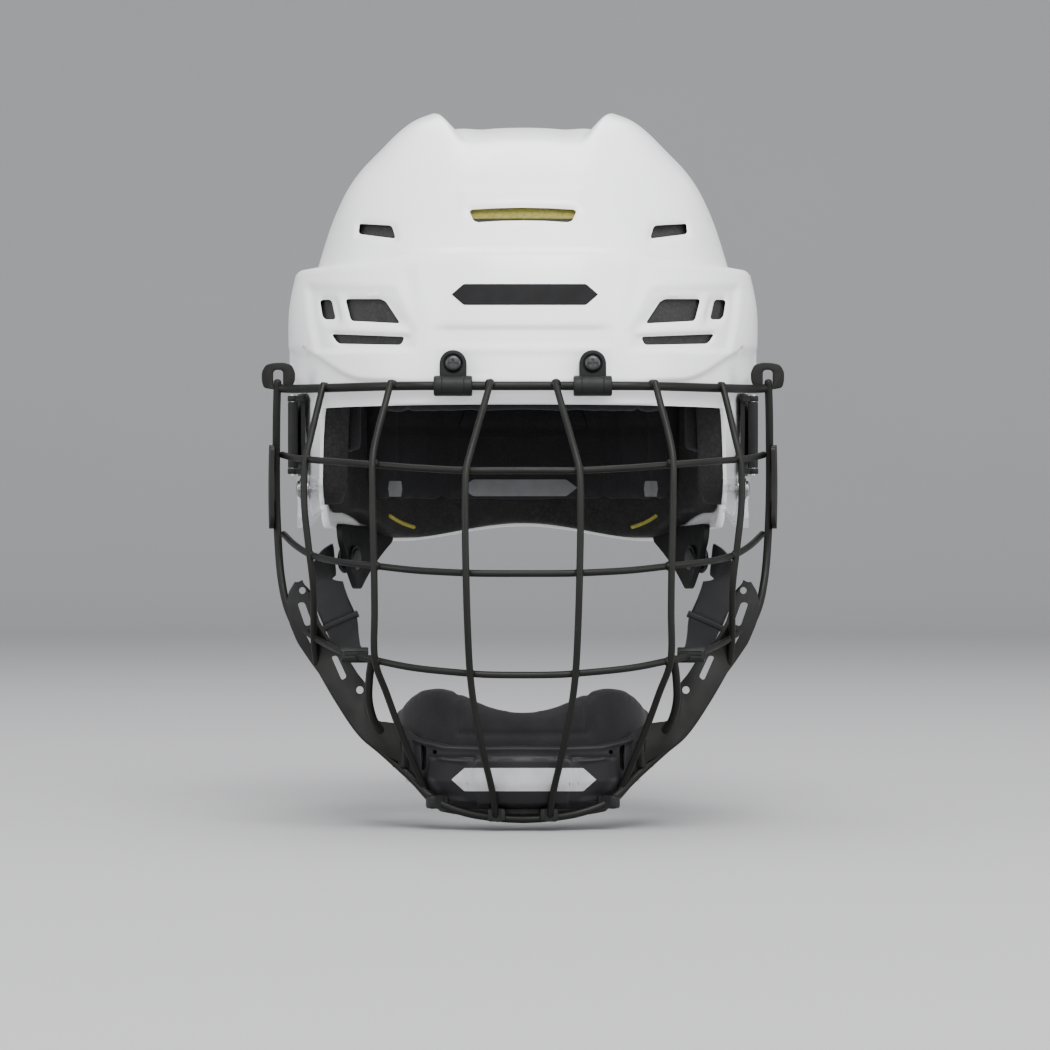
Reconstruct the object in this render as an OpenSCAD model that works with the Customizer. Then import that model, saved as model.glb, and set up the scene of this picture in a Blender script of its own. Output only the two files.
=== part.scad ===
// Ice hockey helmet with a wire face cage.
// Frame: origin on the midline at the level of the brow edge, between the ears.
// -Y is the face side, +X is the wearer's left (seen from the front, the right), +Z is up.

/* [Helmet shell] */
// Half width of the shell at the ears, under the brow band
shell_half_w = 100; // [98:0.5:102]
// Forehead reach of the shell in front of its centre
shell_front = 127; // [126:0.5:129]
// Nape reach of the shell behind its centre
shell_back = 128; // [122:1:134]
// Height of the crown between the two ridges
crown_h = 126; // [124:0.5:128]
// Wall thickness of both shells
shell_t = 3; // [2.4:0.1:3.2]
// How far the brow band stands out of the shell
band_out = 5.5; // [4:0.5:6]
// Height of the two crown ridges
ridge_h = 10.5; // [4:0.5:11]
// Gap between the sliding shells
slide_gap = 1; // [0.8:0.1:1.4]

/* [Cage wires] */
// Diameter of the top wire, which the clips hold
top_wire_d = 3.8; // [3.6:0.1:3.8]
// Diameter of the frame wire round the jaw
frame_wire_d = 3.4; // [3:0.1:3.8]
// Diameter of the grid wires
grid_wire_d = 2.9; // [2.6:0.1:3.2]
// How deep two crossing wires are welded into each other
weld = 0.3; // [0.2:0.1:0.5]

/* [Fittings] */
// Half distance between the two forehead clips
clip_x = 30; // [28:1:32]
// Running clearance of the top wire in the clips
clip_gap = 0.08; // [0.05:0.01:0.1]
// Radius of the threaded insert at each temple
insert_r = 2.5; // [2:0.1:3]
// Width of the side strap webbing
strap_w = 15; // [12:1:16]

/* [Hidden] */

yc = 5;          // centre of the shell's plan
pp = 2.2;        // plan exponent
qq = 2.5;        // profile exponent
skirt_h = 30;    // where the straight skirt turns into the dome
low_h = 200;     // taper below the centre

kx = shell_half_w / 100;

// ---- the shell surface -------------------------------------------------
function clamp01(v) = v < 0 ? 0 : v > 1 ? 1 : v;
function sm(a, b, v) = let (t = clamp01((v - a) / (b - a))) t * t * (3 - 2 * t);
function unit(v) = v / norm(v);
function plan_len(y) = y < 0 ? shell_front : shell_back;
function reach(th) = pow(pow(abs(sin(th)) / shell_half_w, pp) + pow(abs(cos(th)) / (cos(th) > 0 ? shell_front : shell_back), pp), -1 / pp);
function prof(z) = pow(1 - pow(abs(z) / (z >= 0 ? crown_h : low_h), qq), 1 / qq);
function grad(x, y, z) =
    let (m = pow(abs(x) / shell_half_w, pp) + pow(abs(y) / plan_len(y), pp),
         f = pow(max(m, 1e-9), qq / pp - 1),
         h = z >= 0 ? crown_h : low_h)
    unit([sign(x) * f * pow(abs(x), pp - 1) / pow(shell_half_w, pp),
          sign(y) * f * pow(abs(y), pp - 1) / pow(plan_len(y), pp),
          sign(z) * pow(abs(z), qq - 1) / pow(h, qq) + 1e-12]);
function band(th, z) = let (top = 59 + 3.5 * (1 - sm(20, 34, abs(th))), fade = 1 - sm(112, 128, abs(th)))
    band_out * sm(3, 9, z) * (1 - sm(top - 3, top + 2, z)) * fade;
function ridge(x, y, z) = ridge_h * sm(30, 41, abs(x)) * (1 - sm(48, 96, abs(x))) * sm(-82, -38, y) * (1 - sm(70, 112, y)) * sm(62, 96, z);
// a point of the shell: angle round from the front, height or dome angle, offset along the normal
function at_z(th, z, off, deco) = let (r = reach(th) * prof(z), x = r * sin(th), y = -r * cos(th)) lift(x, y, z, th, off, deco);
function lift(x, y, z, th, off, deco) = let (n = grad(x, y, z), d = deco ? band(th, z) + ridge(x, y, z) : 0) [x, y + yc, z] + n * (off + d);

// lower edges, by angle round from the front
function rim_front(a) = a < 54 ? -3 : a < 59 ? -3 - 42 * sm(54, 59, a) : a < 67 ? -45 - 5 * sm(59, 64, a) : -50 + 44 * sm(67, 77, a);
function rim_rear(a) = -6 - 50 * sm(98, 112, a) - 6 * sm(118, 140, a) + 7 * sm(150, 180, a);
function rim(kind, th) = let (a = abs(th)) kind == 0 ? rim_front(a) : kind == 1 ? rim_rear(a) : kind == 2 ? rim_front(a) + 5 : kind == 3 ? rim_rear(a) + 1 + 6 * sm(100, 110, a) * (1 - sm(126, 146, a)) : kind == 4 ? -8 : -60;

// heights of the dome rows, as parts of the crown's height, close together at the band's step
fine_rows = [0.34, 0.42, 0.455, 0.485, 0.53, 0.6, 0.68, 0.76, 0.84, 0.91, 0.96, 0.99];
soft_rows = [0.36, 0.5, 0.64, 0.78, 0.9, 0.975];
// the skirt's last two rows lie at 9 and at skirt_h on every cap, so that nested caps share the band's lower step
function skirt_z(z0, i, ns) = i >= ns ? skirt_h : i == ns - 1 ? 9 : z0 + (1 - z0) * i / max(1, ns - 2);
function row_pt(kind, th, i, ns, rows, off, deco) = i <= ns
    ? at_z(th, i == 0 ? rim(kind, th) : skirt_z(rim(kind, th), i, ns), off, deco)
    : at_z(th, crown_h * rows[i - ns - 1], off, deco);

// a closed cap between two offsets of the shell surface
module cap(kind, o_out, o_in, deco = true, deco_in = true, nth = 60, ns = 6, rows = fine_rows) {
    nr = ns + len(rows) + 1;
    m = nr * nth + 1;
    side = function (o, d) [for (i = [0:nr - 1], j = [0:nth - 1]) row_pt(kind, -180 + 360 * j / nth, i, ns, rows, o, d), [0, yc, crown_h + o]];
    pts = concat(side(o_out, deco), side(o_in, deco_in));
    f = concat(
        [for (i = [0:nr - 2], j = [0:nth - 1]) let (k = (j + 1) % nth) each [[i * nth + j, (i + 1) * nth + j, (i + 1) * nth + k], [i * nth + j, (i + 1) * nth + k, i * nth + k]]],
        [for (j = [0:nth - 1]) let (k = (j + 1) % nth) [(nr - 1) * nth + j, m - 1, (nr - 1) * nth + k]],
        [for (i = [0:nr - 2], j = [0:nth - 1]) let (k = (j + 1) % nth) each [[m + i * nth + j, m + (i + 1) * nth + k, m + (i + 1) * nth + j], [m + i * nth + j, m + i * nth + k, m + (i + 1) * nth + k]]],
        [for (j = [0:nth - 1]) let (k = (j + 1) % nth) [m + (nr - 1) * nth + j, m + (nr - 1) * nth + k, 2 * m - 1]],
        [for (j = [0:nth - 1]) let (k = (j + 1) % nth) each [[j, k, m + k], [j, m + k, m + j]]]);
    polyhedron(points = pts, faces = f, convexity = 8);
}

// a curved piece of the shell surface over a range of angle and height
module patch(a0, a1, z0, z1, o_out, o_in, deco = true, na = 16, nz = 6) {
    pt = function (i, j, o) at_z(a0 + (a1 - a0) * j / na, z0 + (z1 - z0) * i / nz, o, deco);
    w = na + 1;
    m = w * (nz + 1);
    pts = concat([for (i = [0:nz], j = [0:na]) pt(i, j, o_out)], [for (i = [0:nz], j = [0:na]) pt(i, j, o_in)]);
    f = concat(
        [for (i = [0:nz - 1], j = [0:na - 1]) let (a = i * w + j) each [[a, a + w, a + w + 1], [a, a + w + 1, a + 1]]],
        [for (i = [0:nz - 1], j = [0:na - 1]) let (a = m + i * w + j) each [[a, a + w + 1, a + w], [a, a + 1, a + w + 1]]],
        [for (j = [0:na - 1]) each [[j, j + 1, m + j + 1], [j, m + j + 1, m + j]]],
        [for (j = [0:na - 1]) let (a = nz * w + j) each [[a, m + a + 1, a + 1], [a, m + a, m + a + 1]]],
        [for (i = [0:nz - 1]) let (a = i * w) each [[a, m + a, m + a + w], [a, m + a + w, a + w]]],
        [for (i = [0:nz - 1]) let (a = i * w + na) each [[a, m + a + w, m + a], [a, a + w, m + a + w]]]);
    polyhedron(points = pts, faces = f, convexity = 6);
}

// ---- wires and straps ----------------------------------------------------
function hermite(a, b, c, d, t) = let (m1 = (c - a) / 2, m2 = (d - b) / 2, t2 = t * t, t3 = t2 * t)
    (2 * t3 - 3 * t2 + 1) * b + (t3 - 2 * t2 + t) * m1 + (-2 * t3 + 3 * t2) * c + (t3 - t2) * m2;
function spline(p, n) = let (l = len(p)) concat(
    [for (i = [0:l - 2], j = [0:n - 1]) hermite(i == 0 ? 2 * p[0] - p[1] : p[i - 1], p[i], p[i + 1], i == l - 2 ? 2 * p[l - 1] - p[l - 2] : p[i + 2], j / n)],
    [p[l - 1]]);
function flip(p) = [for (q = p) [-q[0], q[1], q[2]]];
function tangent(p, i) = unit(p[min(i + 1, len(p) - 1)] - p[max(i - 1, 0)]);
module sweep(path, outline, ref) {
    s = len(outline);
    l = len(path);
    pts = [for (i = [0:l - 1]) let (t = tangent(path, i), n = unit(cross(ref, t)), b = cross(t, n)) each [for (o = outline) path[i] + n * o[0] + b * o[1]]];
    f = concat(
        [for (i = [0:l - 2], j = [0:s - 1]) let (k = (j + 1) % s) each [[i * s + j, (i + 1) * s + j, (i + 1) * s + k], [i * s + j, (i + 1) * s + k, i * s + k]]],
        [[for (j = [0:s - 1]) j]], [[for (j = [s - 1:-1:0]) (l - 1) * s + j]]);
    polyhedron(points = pts, faces = f, convexity = 8);
}
function ring(d, s) = [for (i = [0:s - 1]) d / 2 / cos(90 / s) * [cos(180 / s * (2 * i + 1)), sin(180 / s * (2 * i + 1))]];
function bar(w, t) = [[-w / 2, -t / 2], [w / 2, -t / 2], [w / 2, t / 2], [-w / 2, t / 2]];
module wire(p, d, n, ref, s = 6) color("#2b2c2c") sweep(spline([for (q = p) [q[0] * kx, q[1], q[2]]], n), ring(d, s), ref);
module both(right) if (right) mirror([1, 0, 0]) children(); else children();

// hinge line of the cage, through the straight middle of the top wire
hinge_y = -132;
hinge_z = 4.5;
straight = 42;
top_side = [[42, -132, 4.5], [50, -130, 4.5], [60, -124, 4.5], [72, -113, 4.5], [84, -98, 4.6], [94, -83, 4.8], [101, -74, 5], [105.4, -70.4, 5.4]];
frame_side = [[106.5, -71, 8], [107, -69, -6], [107.3, -66, -22], [107.5, -63, -38], [107, -62, -56], [105, -69, -77], [100.5, -80, -93],
    [90, -93, -110], [79, -104, -128], [69, -112, -142], [60, -117, -149.5], [48, -122, -160], [37, -127, -170], [24, -131, -175], [10, -133.5, -177], [0, -134, -177.5]];
inner_side = [[13.5, -135.1, 6], [16, -142.5, -3], [19, -152, -14], [22, -160.5, -25], [23.6, -164.5, -33], [23.8, -168.5, -52], [23.4, -170.5, -74], [22.8, -169.5, -95],
    [21.8, -166, -115], [20, -162, -130], [17.5, -156.5, -144], [15, -150.5, -155], [12.6, -143.5, -166], [11.4, -135.8, -176]];
middle_side = [[55.6, -129.6, 6], [58, -134, -4], [60.5, -140, -14], [62.6, -146.5, -26], [62.6, -150, -40], [62.2, -152.5, -58], [61.8, -154, -72], [61.6, -153, -90],
    [61.6, -150.5, -110], [57, -144, -124], [51.5, -137, -140], [46.5, -130.5, -153], [41.5, -124.5, -165]];
outer_side = [[85.3, -99, 6], [88, -104, -6], [90.6, -108.5, -18], [92.6, -111.5, -28], [92.8, -114, -45], [91, -115.5, -62], [88.8, -114, -82], [89.2, -105.2, -102], [88.2, -101, -113]];
brow_half = [[0, -163.6, -31.5], [12, -163.1, -31.5], [23.6, -161.8, -31.4], [44, -154.5, -30.3], [62.3, -144, -28.8], [78, -129, -27.4], [91, -110.5, -26.2], [99, -92, -25], [104.5, -70, -23.5]];
mid_half = [[0, -168.2, -74], [12, -168.1, -74], [23.3, -167.8, -73.8], [44, -161, -72.8], [61.4, -151.2, -71], [77, -137, -69.4], [88.8, -115.8, -67], [97, -98, -63], [104, -67, -58]];
mouth_half = [[0, -163.8, -116], [12, -163.8, -115.9], [21.6, -163.4, -115.4], [44, -157.5, -113.4], [60.6, -148.4, -110.5], [74.6, -133, -107.6], [85, -111, -104], [92, -98.5, -100], [98.5, -84, -95]];
function halves(p) = concat([for (i = [len(p) - 1:-1:1]) [-p[i][0], p[i][1], p[i][2]]], p);

// ---- helmet body ---------------------------------------------------------
module vent(pts, depth = 90) hull() for (p = pts) translate([p[0] * kx, -150, p[1]]) rotate([-90, 0, 0]) cylinder(r = 1.2, h = depth, $fn = 8);
module front_vents() {
    vent([[-22, 80.4], [22, 80.4], [18.5, 76], [-18.5, 76]]);
    for (s = [-1, 1]) {
        vent([[s * 69, 75.4], [s * 55.6, 74.6], [s * 55, 70.4], [s * 70, 72]]);
        vent([[s * 74.8, 40.8], [s * 60, 40.8], [s * 54, 33.2], [s * 71.8, 34.2]]);
        vent([[s * 86.6, 42], [s * 84, 42], [s * 82.8, 36.4], [s * 85, 36.4]]);
        vent([[s * 81, 26], [s * 52.6, 25.6], [s * 55, 24.2], [s * 78.6, 24.4]]);
    }
}
module front_shell() color("#f1f2f3") difference() {
    intersection() {
        cap(0, 0, -shell_t, nth = 72, ns = 5);
        hull() { translate([-140, -180, -80]) cube([280, 196, 10]); translate([-140, -180, 150]) cube([280, 222, 10]); }
    }
    front_vents();
    for (s = [-1, 1]) {
        translate([s * clip_x, -140, 14]) rotate([-90, 0, 0]) cylinder(r = 2.3, h = 60, $fn = 24);
        translate([s * 60, -55, 22]) rotate([0, s * 90, 0]) cylinder(r = 4.4, h = 60, $fn = 24);
    }
}
module vent_insert() color("#9a9440") patch(-14, 14, 70, 86, -3.3, -5.2);
module front_liner() color("#1b1b1c") difference() {
    cap(2, -5.5, -15, deco_in = false, nth = 40, ns = 2, rows = soft_rows);
    translate([-150, -12, -100]) cube([300, 200, 300]);
    for (s = [-1, 1]) {
        translate([s * 100, -55, 22]) rotate([0, s * 90, 0]) cylinder(r = 8, h = 40, center = true, $fn = 24);
        translate([s * clip_x, -125, 14]) rotate([-90, 0, 0]) cylinder(r = 6.4, h = 11.5, $fn = 24);
    }
}
module brow_pad() color("#161617") patch(-42, 42, -7, 36, -14.6, -24, false, 14, 4);
module temple_pad(right) both(!right) color("#161617") patch(58, 73, -24, 34, -14.6, -25, false, 6, 4);
module ear_guard(right) both(!right) color([0.8, 0.82, 0.84, 0.45]) difference() {
    patch(52, 96, -56, -32.8, 2.4, 0.2, false, 14, 5);
    for (y = [-52, -34]) translate([80, y, -38]) rotate([0, 90, 0]) cylinder(r = 2.2, h = 40, $fn = 20);
    for (y = [-14, -6, 2]) hull() for (z = [-50, -40]) translate([80, y, z]) rotate([0, 90, 0]) cylinder(r = 1.8, h = 40, $fn = 16);
}
function skin_x(y, z) = let (r = pow(1 - pow(abs(y - yc) / (plan_len(y - yc) * prof(z)), pp), 1 / pp)) shell_half_w * prof(z) * r;
module ear_guard_screws() color("#b9bcbf") for (s = [-1, 1], y = [-52, -34]) let (x = skin_x(y, -38) + 2.2) translate([s * x, y, -38]) rotate([0, s * 90, 0]) {
    translate([0, 0, 0.6]) cylinder(r = 3.6, h = 1.6, $fn = 32);
    translate([0, 0, -5.5]) cylinder(r = 1.9, h = 6.6, $fn = 24);
}

// clip that hooks over the top wire, and its screw and nut
clip_face = -121.4;
module j_clip(right) translate([right ? clip_x : -clip_x, 0, 0]) color("#2a2b2c") difference() {
    union() {
        intersection() {
            translate([-6.2, -129.6, 3]) cube([12.4, 129.6 + clip_face - 2.6, 30]);
            union() {
                translate([0, -140, 14]) rotate([-90, 0, 0]) cylinder(r = 6.2, h = 30, $fn = 48);
                translate([-6.2, -140, 3]) cube([12.4, 30, 11]);
            }
        }
        translate([-7.5, hinge_y, hinge_z]) rotate([0, 90, 0]) cylinder(r = 4.2, h = 15, $fn = 48);
        translate([-7.5, hinge_y, hinge_z - 4.2]) cube([15, 5.5, 8.4]);
    }
    translate([-20, hinge_y, hinge_z]) rotate([0, 90, 0]) cylinder(r = top_wire_d / 2 + clip_gap, h = 40, $fn = 48);
    translate([0, -140, 14]) rotate([-90, 0, 0]) cylinder(r = 2.15, h = 40, $fn = 32);
    translate([0, -140, 14]) rotate([-90, 0, 0]) cylinder(r = 4.3, h = 12, $fn = 48);
    rotate([0, 0, 0]) translate([-20, hinge_y + 0.4, hinge_z - 8]) cube([40, 1.5, 7.6]);
}
module j_clip_screws() color("#1d1e1f") for (s = [-1, 1]) translate([s * clip_x, 0, 14]) rotate([-90, 0, 0]) difference() {
    union() {
        translate([0, 0, -130.4]) cylinder(r = 3.9, h = 2.3, $fn = 40);
        translate([0, 0, -129]) cylinder(r = 1.95, h = 13.4, $fn = 32);
    }
    translate([0, 0, -131]) cylinder(r = 2, h = 1.6, $fn = 6);
}
module j_clip_nuts() color("#a9acb0") for (s = [-1, 1]) translate([s * clip_x, 0, 14]) rotate([-90, 0, 0]) difference() {
    union() {
        translate([0, 0, -117.2]) cylinder(r = 6, h = 1.2, $fn = 40);
        translate([0, 0, -117.2]) cylinder(r = 3, h = 2.2, $fn = 40);
    }
    translate([0, 0, -125]) cylinder(r = 2, h = 20, $fn = 32);
}
// threaded insert for an accessory at the temple
module temple_insert(right) both(!right) color("#eceeef") translate([0, -55, 22]) rotate([0, 90, 0]) difference() {
    translate([0, 0, 84.5]) cylinder(r = 4.2, h = 8.3, $fn = 40);
    translate([0, 0, 80]) cylinder(r = insert_r, h = 30, $fn = 40);
}
// size lock at the side: base, lever and pin
lock_y = -38;
lock_x = 101.5;
module lock_base(right) both(!right) color("#1c1d1e") difference() {
    union() {
        patch(66, 92, -32.2, 4.5, 2.2, 0.2, false, 10, 7);
        for (z = [-31.5, 0.5]) translate([lock_x * kx, lock_y, z]) cylinder(r = 2.4, h = 2.5, $fn = 32);
        for (z = [-31.5, 0.5]) translate([lock_x * kx - 5, lock_y - 1.2, z]) cube([5, 4, 2.5]);
    }
    translate([lock_x * kx, lock_y, -40]) cylinder(r = 1.2, h = 50, $fn = 32);
}
module lock_lever(right) both(!right) color("#101011") difference() {
    union() {
        translate([lock_x * kx, lock_y, -28.8]) cylinder(r = 2.3, h = 29.1, $fn = 32);
        hull() { translate([lock_x * kx + 0.9, lock_y, -28.8]) cylinder(r = 1.2, h = 29.1, $fn = 24); translate([lock_x * kx + 1.8, lock_y + 26, -24.8]) cylinder(r = 1, h = 21.1, $fn = 24); }
    }
    translate([lock_x * kx, lock_y, -40]) cylinder(r = 1.26, h = 50, $fn = 32);
}
module lock_pins() color("#a9acb0") for (s = [-1, 1]) translate([s * lock_x * kx, lock_y, -32]) cylinder(r = 1.2, h = 35.5, $fn = 32);

// ---- sliding rear half ---------------------------------------------------
module rear_shell() color("#eceeef") difference() {
    cap(1, -shell_t - slide_gap, -2 * shell_t - slide_gap, nth = 60, ns = 4);
    hull() { translate([-140, -180, -80]) cube([280, 182, 10]); translate([-140, -180, 150]) cube([280, 188, 10]); }
    for (s = [-1, 1]) {
        for (z = [20, 44]) hull() for (x = [14, 36]) translate([s * x, 60, z + (x - 14) * 0.15]) rotate([-90, 0, 0]) cylinder(r = 2.2, h = 120, $fn = 12);
        for (y = [48, 78]) hull() for (d = [0, 16]) translate([s * 18, y + d, 60]) cylinder(r = 2.4, h = 100, $fn = 12);
    }
}
// anchor tab for the side strap, let into the foam at the lower edge behind the ear
tab_a = 110;
module at_tab(out) translate([0, yc, 0]) rotate([0, 0, tab_a - 180]) translate([-26, out, 0]) rotate([-90, 0, 0]) children();
module tab_outline(g) offset(r = 3 + g) polygon([[-34, 58], [10, 56], [10, 60], [-2, 81], [-4, 81], [-34, 60]]);
module strap_tab(right) both(!right) color("#151516") difference() {
    intersection() { patch(108, 147, -92, -38, -7.2, -9.7, false, 12, 4); at_tab(60) linear_extrude(80) tab_outline(0); }
    at_tab(60) translate([-2, 70, 0]) cylinder(r = 1.6, h = 80, $fn = 24);
}
tab_r = 95.6 * kx;
module tab_studs() color("#c2c5c8") for (right = [true, false]) both(!right) at_tab(tab_r) translate([-2, 70, 0]) union() {
    translate([0, 0, -3.8]) cylinder(r = 5, h = 1.2, $fn = 40);
    translate([0, 0, -3]) cylinder(r = 1.5, h = 4.8, $fn = 24);
    translate([0, 0, 0.5]) cylinder(r = 4.2, h = 1.4, $fn = 40);
}
module rear_liner() color("#1a1a1b") difference() {
    cap(3, -8, -18, deco_in = false, nth = 40, ns = 2, rows = soft_rows);
    translate([-150, -198, -100]) cube([300, 200, 300]);
    for (right = [true, false]) both(!right) intersection() { patch(104, 150, -96, -34, -6.5, -10, false, 12, 4); at_tab(60) linear_extrude(80) tab_outline(0.6); }
}
module liner_trim() color("#8f9a3a") for (s = [-1, 1]) scale([s, 1, 1]) patch(136.5, 148, -57.5, -50.5, -17.7, -20.4, false, 6, 2);
module occipital_pad() color("#141415") patch(124, 236, -46, 34, -17.6, -27, false, 16, 5);
module crown_pad() color("#141415") difference() {
    intersection() { cap(4, -17.6, -25, deco = false, deco_in = false, nth = 32, ns = 2, rows = soft_rows); translate([-42, 4, 60]) cube([84, 66, 80]); }
    for (y = [18, 37, 56]) hull() for (x = [-26, 26]) translate([x, y, 60]) cylinder(r = 4, h = 90, $fn = 16);
}

// ---- cage ----------------------------------------------------------------
module top_wire() color("#2b2c2c") union() {
    translate([-straight, hinge_y, hinge_z]) rotate([0, 90, 0]) cylinder(d = top_wire_d, h = 2 * straight, $fn = 48);
    for (s = [-1, 1]) sweep(spline([for (q = concat([[38, -132, 4.5]], top_side)) [s * q[0] * (q[0] > 43 ? kx : 1), q[1], q[2]]], 3), ring(top_wire_d, 8), [0, 0, 1]);
}
module frame_wire(right) wire(right ? frame_side : flip(frame_side), frame_wire_d, 3, [0, 1, 0], 8);
module brow_wire() wire(halves(brow_half), grid_wire_d, 3, [0, 0, 1]);
module mid_wire() wire(halves(mid_half), grid_wire_d, 3, [0, 0, 1]);
module mouth_wire() wire(halves(mouth_half), grid_wire_d, 3, [0, 0, 1]);
module inner_wire(right) wire(right ? inner_side : flip(inner_side), grid_wire_d, 2, [1, 0, 0]);
module middle_wire(right) wire(right ? middle_side : flip(middle_side), grid_wire_d, 2, [1, 0, 0]);
module outer_wire(right) wire(right ? outer_side : flip(outer_side), grid_wire_d, 3, [1, 0, 0]);
jaw_strut_path = [[63, -145.5, -110.5], [64.2, -140, -118], [64.7, -133.5, -127.5], [63, -125.5, -136], [60, -120.8, -140.8]];
module jaw_struts() for (q = [jaw_strut_path, flip(jaw_strut_path)]) wire(q, 3.4, 3, [1, 0, 0]);
jaw_loop_path = [[89, -112, -78], [93.5, -103, -77], [98, -93, -82], [99.6, -88, -91], [97.5, -91, -100], [92, -99, -104.5], [87.5, -105.5, -104]];
module jaw_loops() for (q = [jaw_loop_path, flip(jaw_loop_path)]) wire(q, 3, 3, [0, 1, 0.3]);
module temple_eyelet(right) both(!right) color("#2b2c2c") translate([107.5 * kx, -69, 11.5]) rotate([90, 0, 0]) linear_extrude(2.6, center = true) difference() {
    offset(r = 4) polygon([[-3.6, -4], [3.4, -3], [4, 2.6], [-1, 3.6], [-4, 2.6]]);
    hull() { translate([1, -1.8]) circle(r = 2.1, $fn = 24); translate([0.6, 1.6]) circle(r = 2.1, $fn = 24); }
}
module cheek_plate(right) both(!right) color("#2b2c2c") translate([108.8 * kx, -66, -37.5]) rotate([90, 0, 90]) linear_extrude(2) difference() {
    offset(r = 5) square([26, 27], center = true);
    for (x = [-11, 11]) hull() { translate([x, -8]) circle(r = 2, $fn = 20); translate([x, 8]) circle(r = 2, $fn = 20); }
}
jaw_plate_path = [[98.5, -86, -90], [93.5, -92.5, -99], [86.5, -99, -109], [79, -106.5, -121], [70.5, -113.5, -134], [62.5, -118.5, -144], [54.5, -122, -151.5]];
module jaw_plate(right) both(!right) color("#2b2c2c") difference() {
    sweep(spline([for (q = jaw_plate_path) [(q[0] - 2.5) * kx, q[1] - 2, q[2] + 2.5]], 3), bar(10.5, 2), [0.72, -0.6, -0.35]);
    for (p = [[79.5, -105.5, -113.5], [72.5, -112, -124.5]]) translate([(p[0]) * kx, p[1], p[2]]) rotate([90, 0, 46]) cylinder(r = 2.6, h = 26, center = true, $fn = 20);
}

// chin cup: a band bent round the chin, with its foam inside
cup_y = -88;
module cup_arc(prof_pts, a) translate([0, cup_y, 0]) rotate([0, 0, 270 - a]) rotate_extrude(angle = 2 * a, $fn = 96) polygon(prof_pts);
module chin_cup() color("#2a2a2c") difference() {
    cup_arc([[53.5, -145.5], [56.8, -145.5], [57, -152], [55.5, -162], [50.5, -170.5], [42, -173.5], [42, -170.5], [49, -167.8], [52.6, -161], [53.6, -152]], 52);
    for (s = [-1, 1]) translate([0, cup_y, 0]) rotate([0, 0, s * 44]) translate([0, -60, -154]) rotate([-90, 0, 0]) hull() { translate([0, -5, 0]) cylinder(r = 1.6, h = 14, $fn = 16); translate([0, 5, 0]) cylinder(r = 1.6, h = 14, $fn = 16); }
}
module chin_foam() color("#222124") intersection() {
    cup_arc([[52.2, -120], [52.6, -150], [51, -160], [47, -166], [40, -169.4], [36, -160], [43.5, -150], [44.5, -140], [45, -120]], 80);
    translate([0, -60, -145]) rotate([90, 0, 0]) linear_extrude(90) difference() {
        offset(r = 8) polygon([[-29, 14], [29, 14], [44, 7], [45, -10], [36, -20], [-36, -20], [-45, -10], [-44, 7]]);
        translate([0, 48]) circle(r = 36, $fn = 64);
    }
}
module chin_clips() color("#1a1a1b") for (s = [-1, 1]) {
    translate([s * 11, -134.4, -175.6]) cube([8, 6.4, 6], center = true);
    translate([s * 36 * kx, -127.4, -170.6]) cube([9, 6.4, 6], center = true);
    translate([s * 50 * kx, -118, -151]) cube([9, 9, 12], center = true);
}

// ---- side straps ----------------------------------------------------------
// the lead stays on the cage; the strap folds down from a bar and snaps to the tab
strap_path = [[88, 63, -70], [90.6, 52, -72.5], [90.8, 38, -76], [88.5, 10, -82], [84.8, -25, -88.5], [80.5, -55, -95]];
lead_path = [[79, -64.5, -97], [76.5, -90, -101.5], [73.6, -113, -105.8], [71.3, -131.3, -108.5]];
lead_w = 9;
bar_at = [79.7, -60, -96.1];
flat_ref = [0.4, 0.1, 0.9];
module ribbon(path, ref_a, ref_b, w) {
    l = len(path);
    o = bar(w, 1.6);
    pts = [for (i = [0:l - 1]) let (u = sm(0, 0.9, i / (l - 1)), ref = ref_a * (1 - u) + ref_b * u, t = tangent(path, i), n = unit(cross(ref, t)), b = cross(t, n)) each [for (q = o) path[i] + n * q[0] + b * q[1]]];
    f = concat(
        [for (i = [0:l - 2], j = [0:3]) let (k = (j + 1) % 4) each [[i * 4 + j, (i + 1) * 4 + j, (i + 1) * 4 + k], [i * 4 + j, (i + 1) * 4 + k, i * 4 + k]]],
        [[0, 1, 2, 3]], [[for (j = [3:-1:0]) (l - 1) * 4 + j]]);
    polyhedron(points = pts, faces = f, convexity = 8);
}
module side_strap(right) both(!right) color("#19191a") ribbon(spline([for (q = strap_path) [q[0] * kx, q[1], q[2]]], 4), [-0.94, -0.34, 0], flat_ref, strap_w);
module strap_lead(right) both(!right) color("#19191a") union() {
    ribbon(spline([for (q = lead_path) [q[0] * kx, q[1], q[2]]], 3), flat_ref, flat_ref, lead_w);
    translate([bar_at[0] * kx, bar_at[1], bar_at[2]]) rotate([0, 114, 0]) translate([0, 0, -8.5]) cylinder(r = 1.1, h = 17, $fn = 24);
    for (z = [-8.5, 7.1]) translate([bar_at[0] * kx, bar_at[1], bar_at[2]]) rotate([0, 114, 0]) translate([-1.1, -6.6, z]) cube([2.2, 7.6, 1.4]);
}
module strap_hook(right) both(!right) color("#141415") translate([70.5 * kx, -137.8, -108.5]) rotate([0, 0, -6]) difference() {
    translate([-5.7, -3.5, -3.2]) cube([11.4, 12, 6.4]);
    translate([-4.8, 4, -1.4]) cube([9.6, 9, 2.8]);
}
module strap_snap(right) both(!right) color("#101011") at_tab(tab_r + 2.2) translate([-2, 70, 0]) cylinder(r = 6.5, h = 2.2, $fn = 40);

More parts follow.
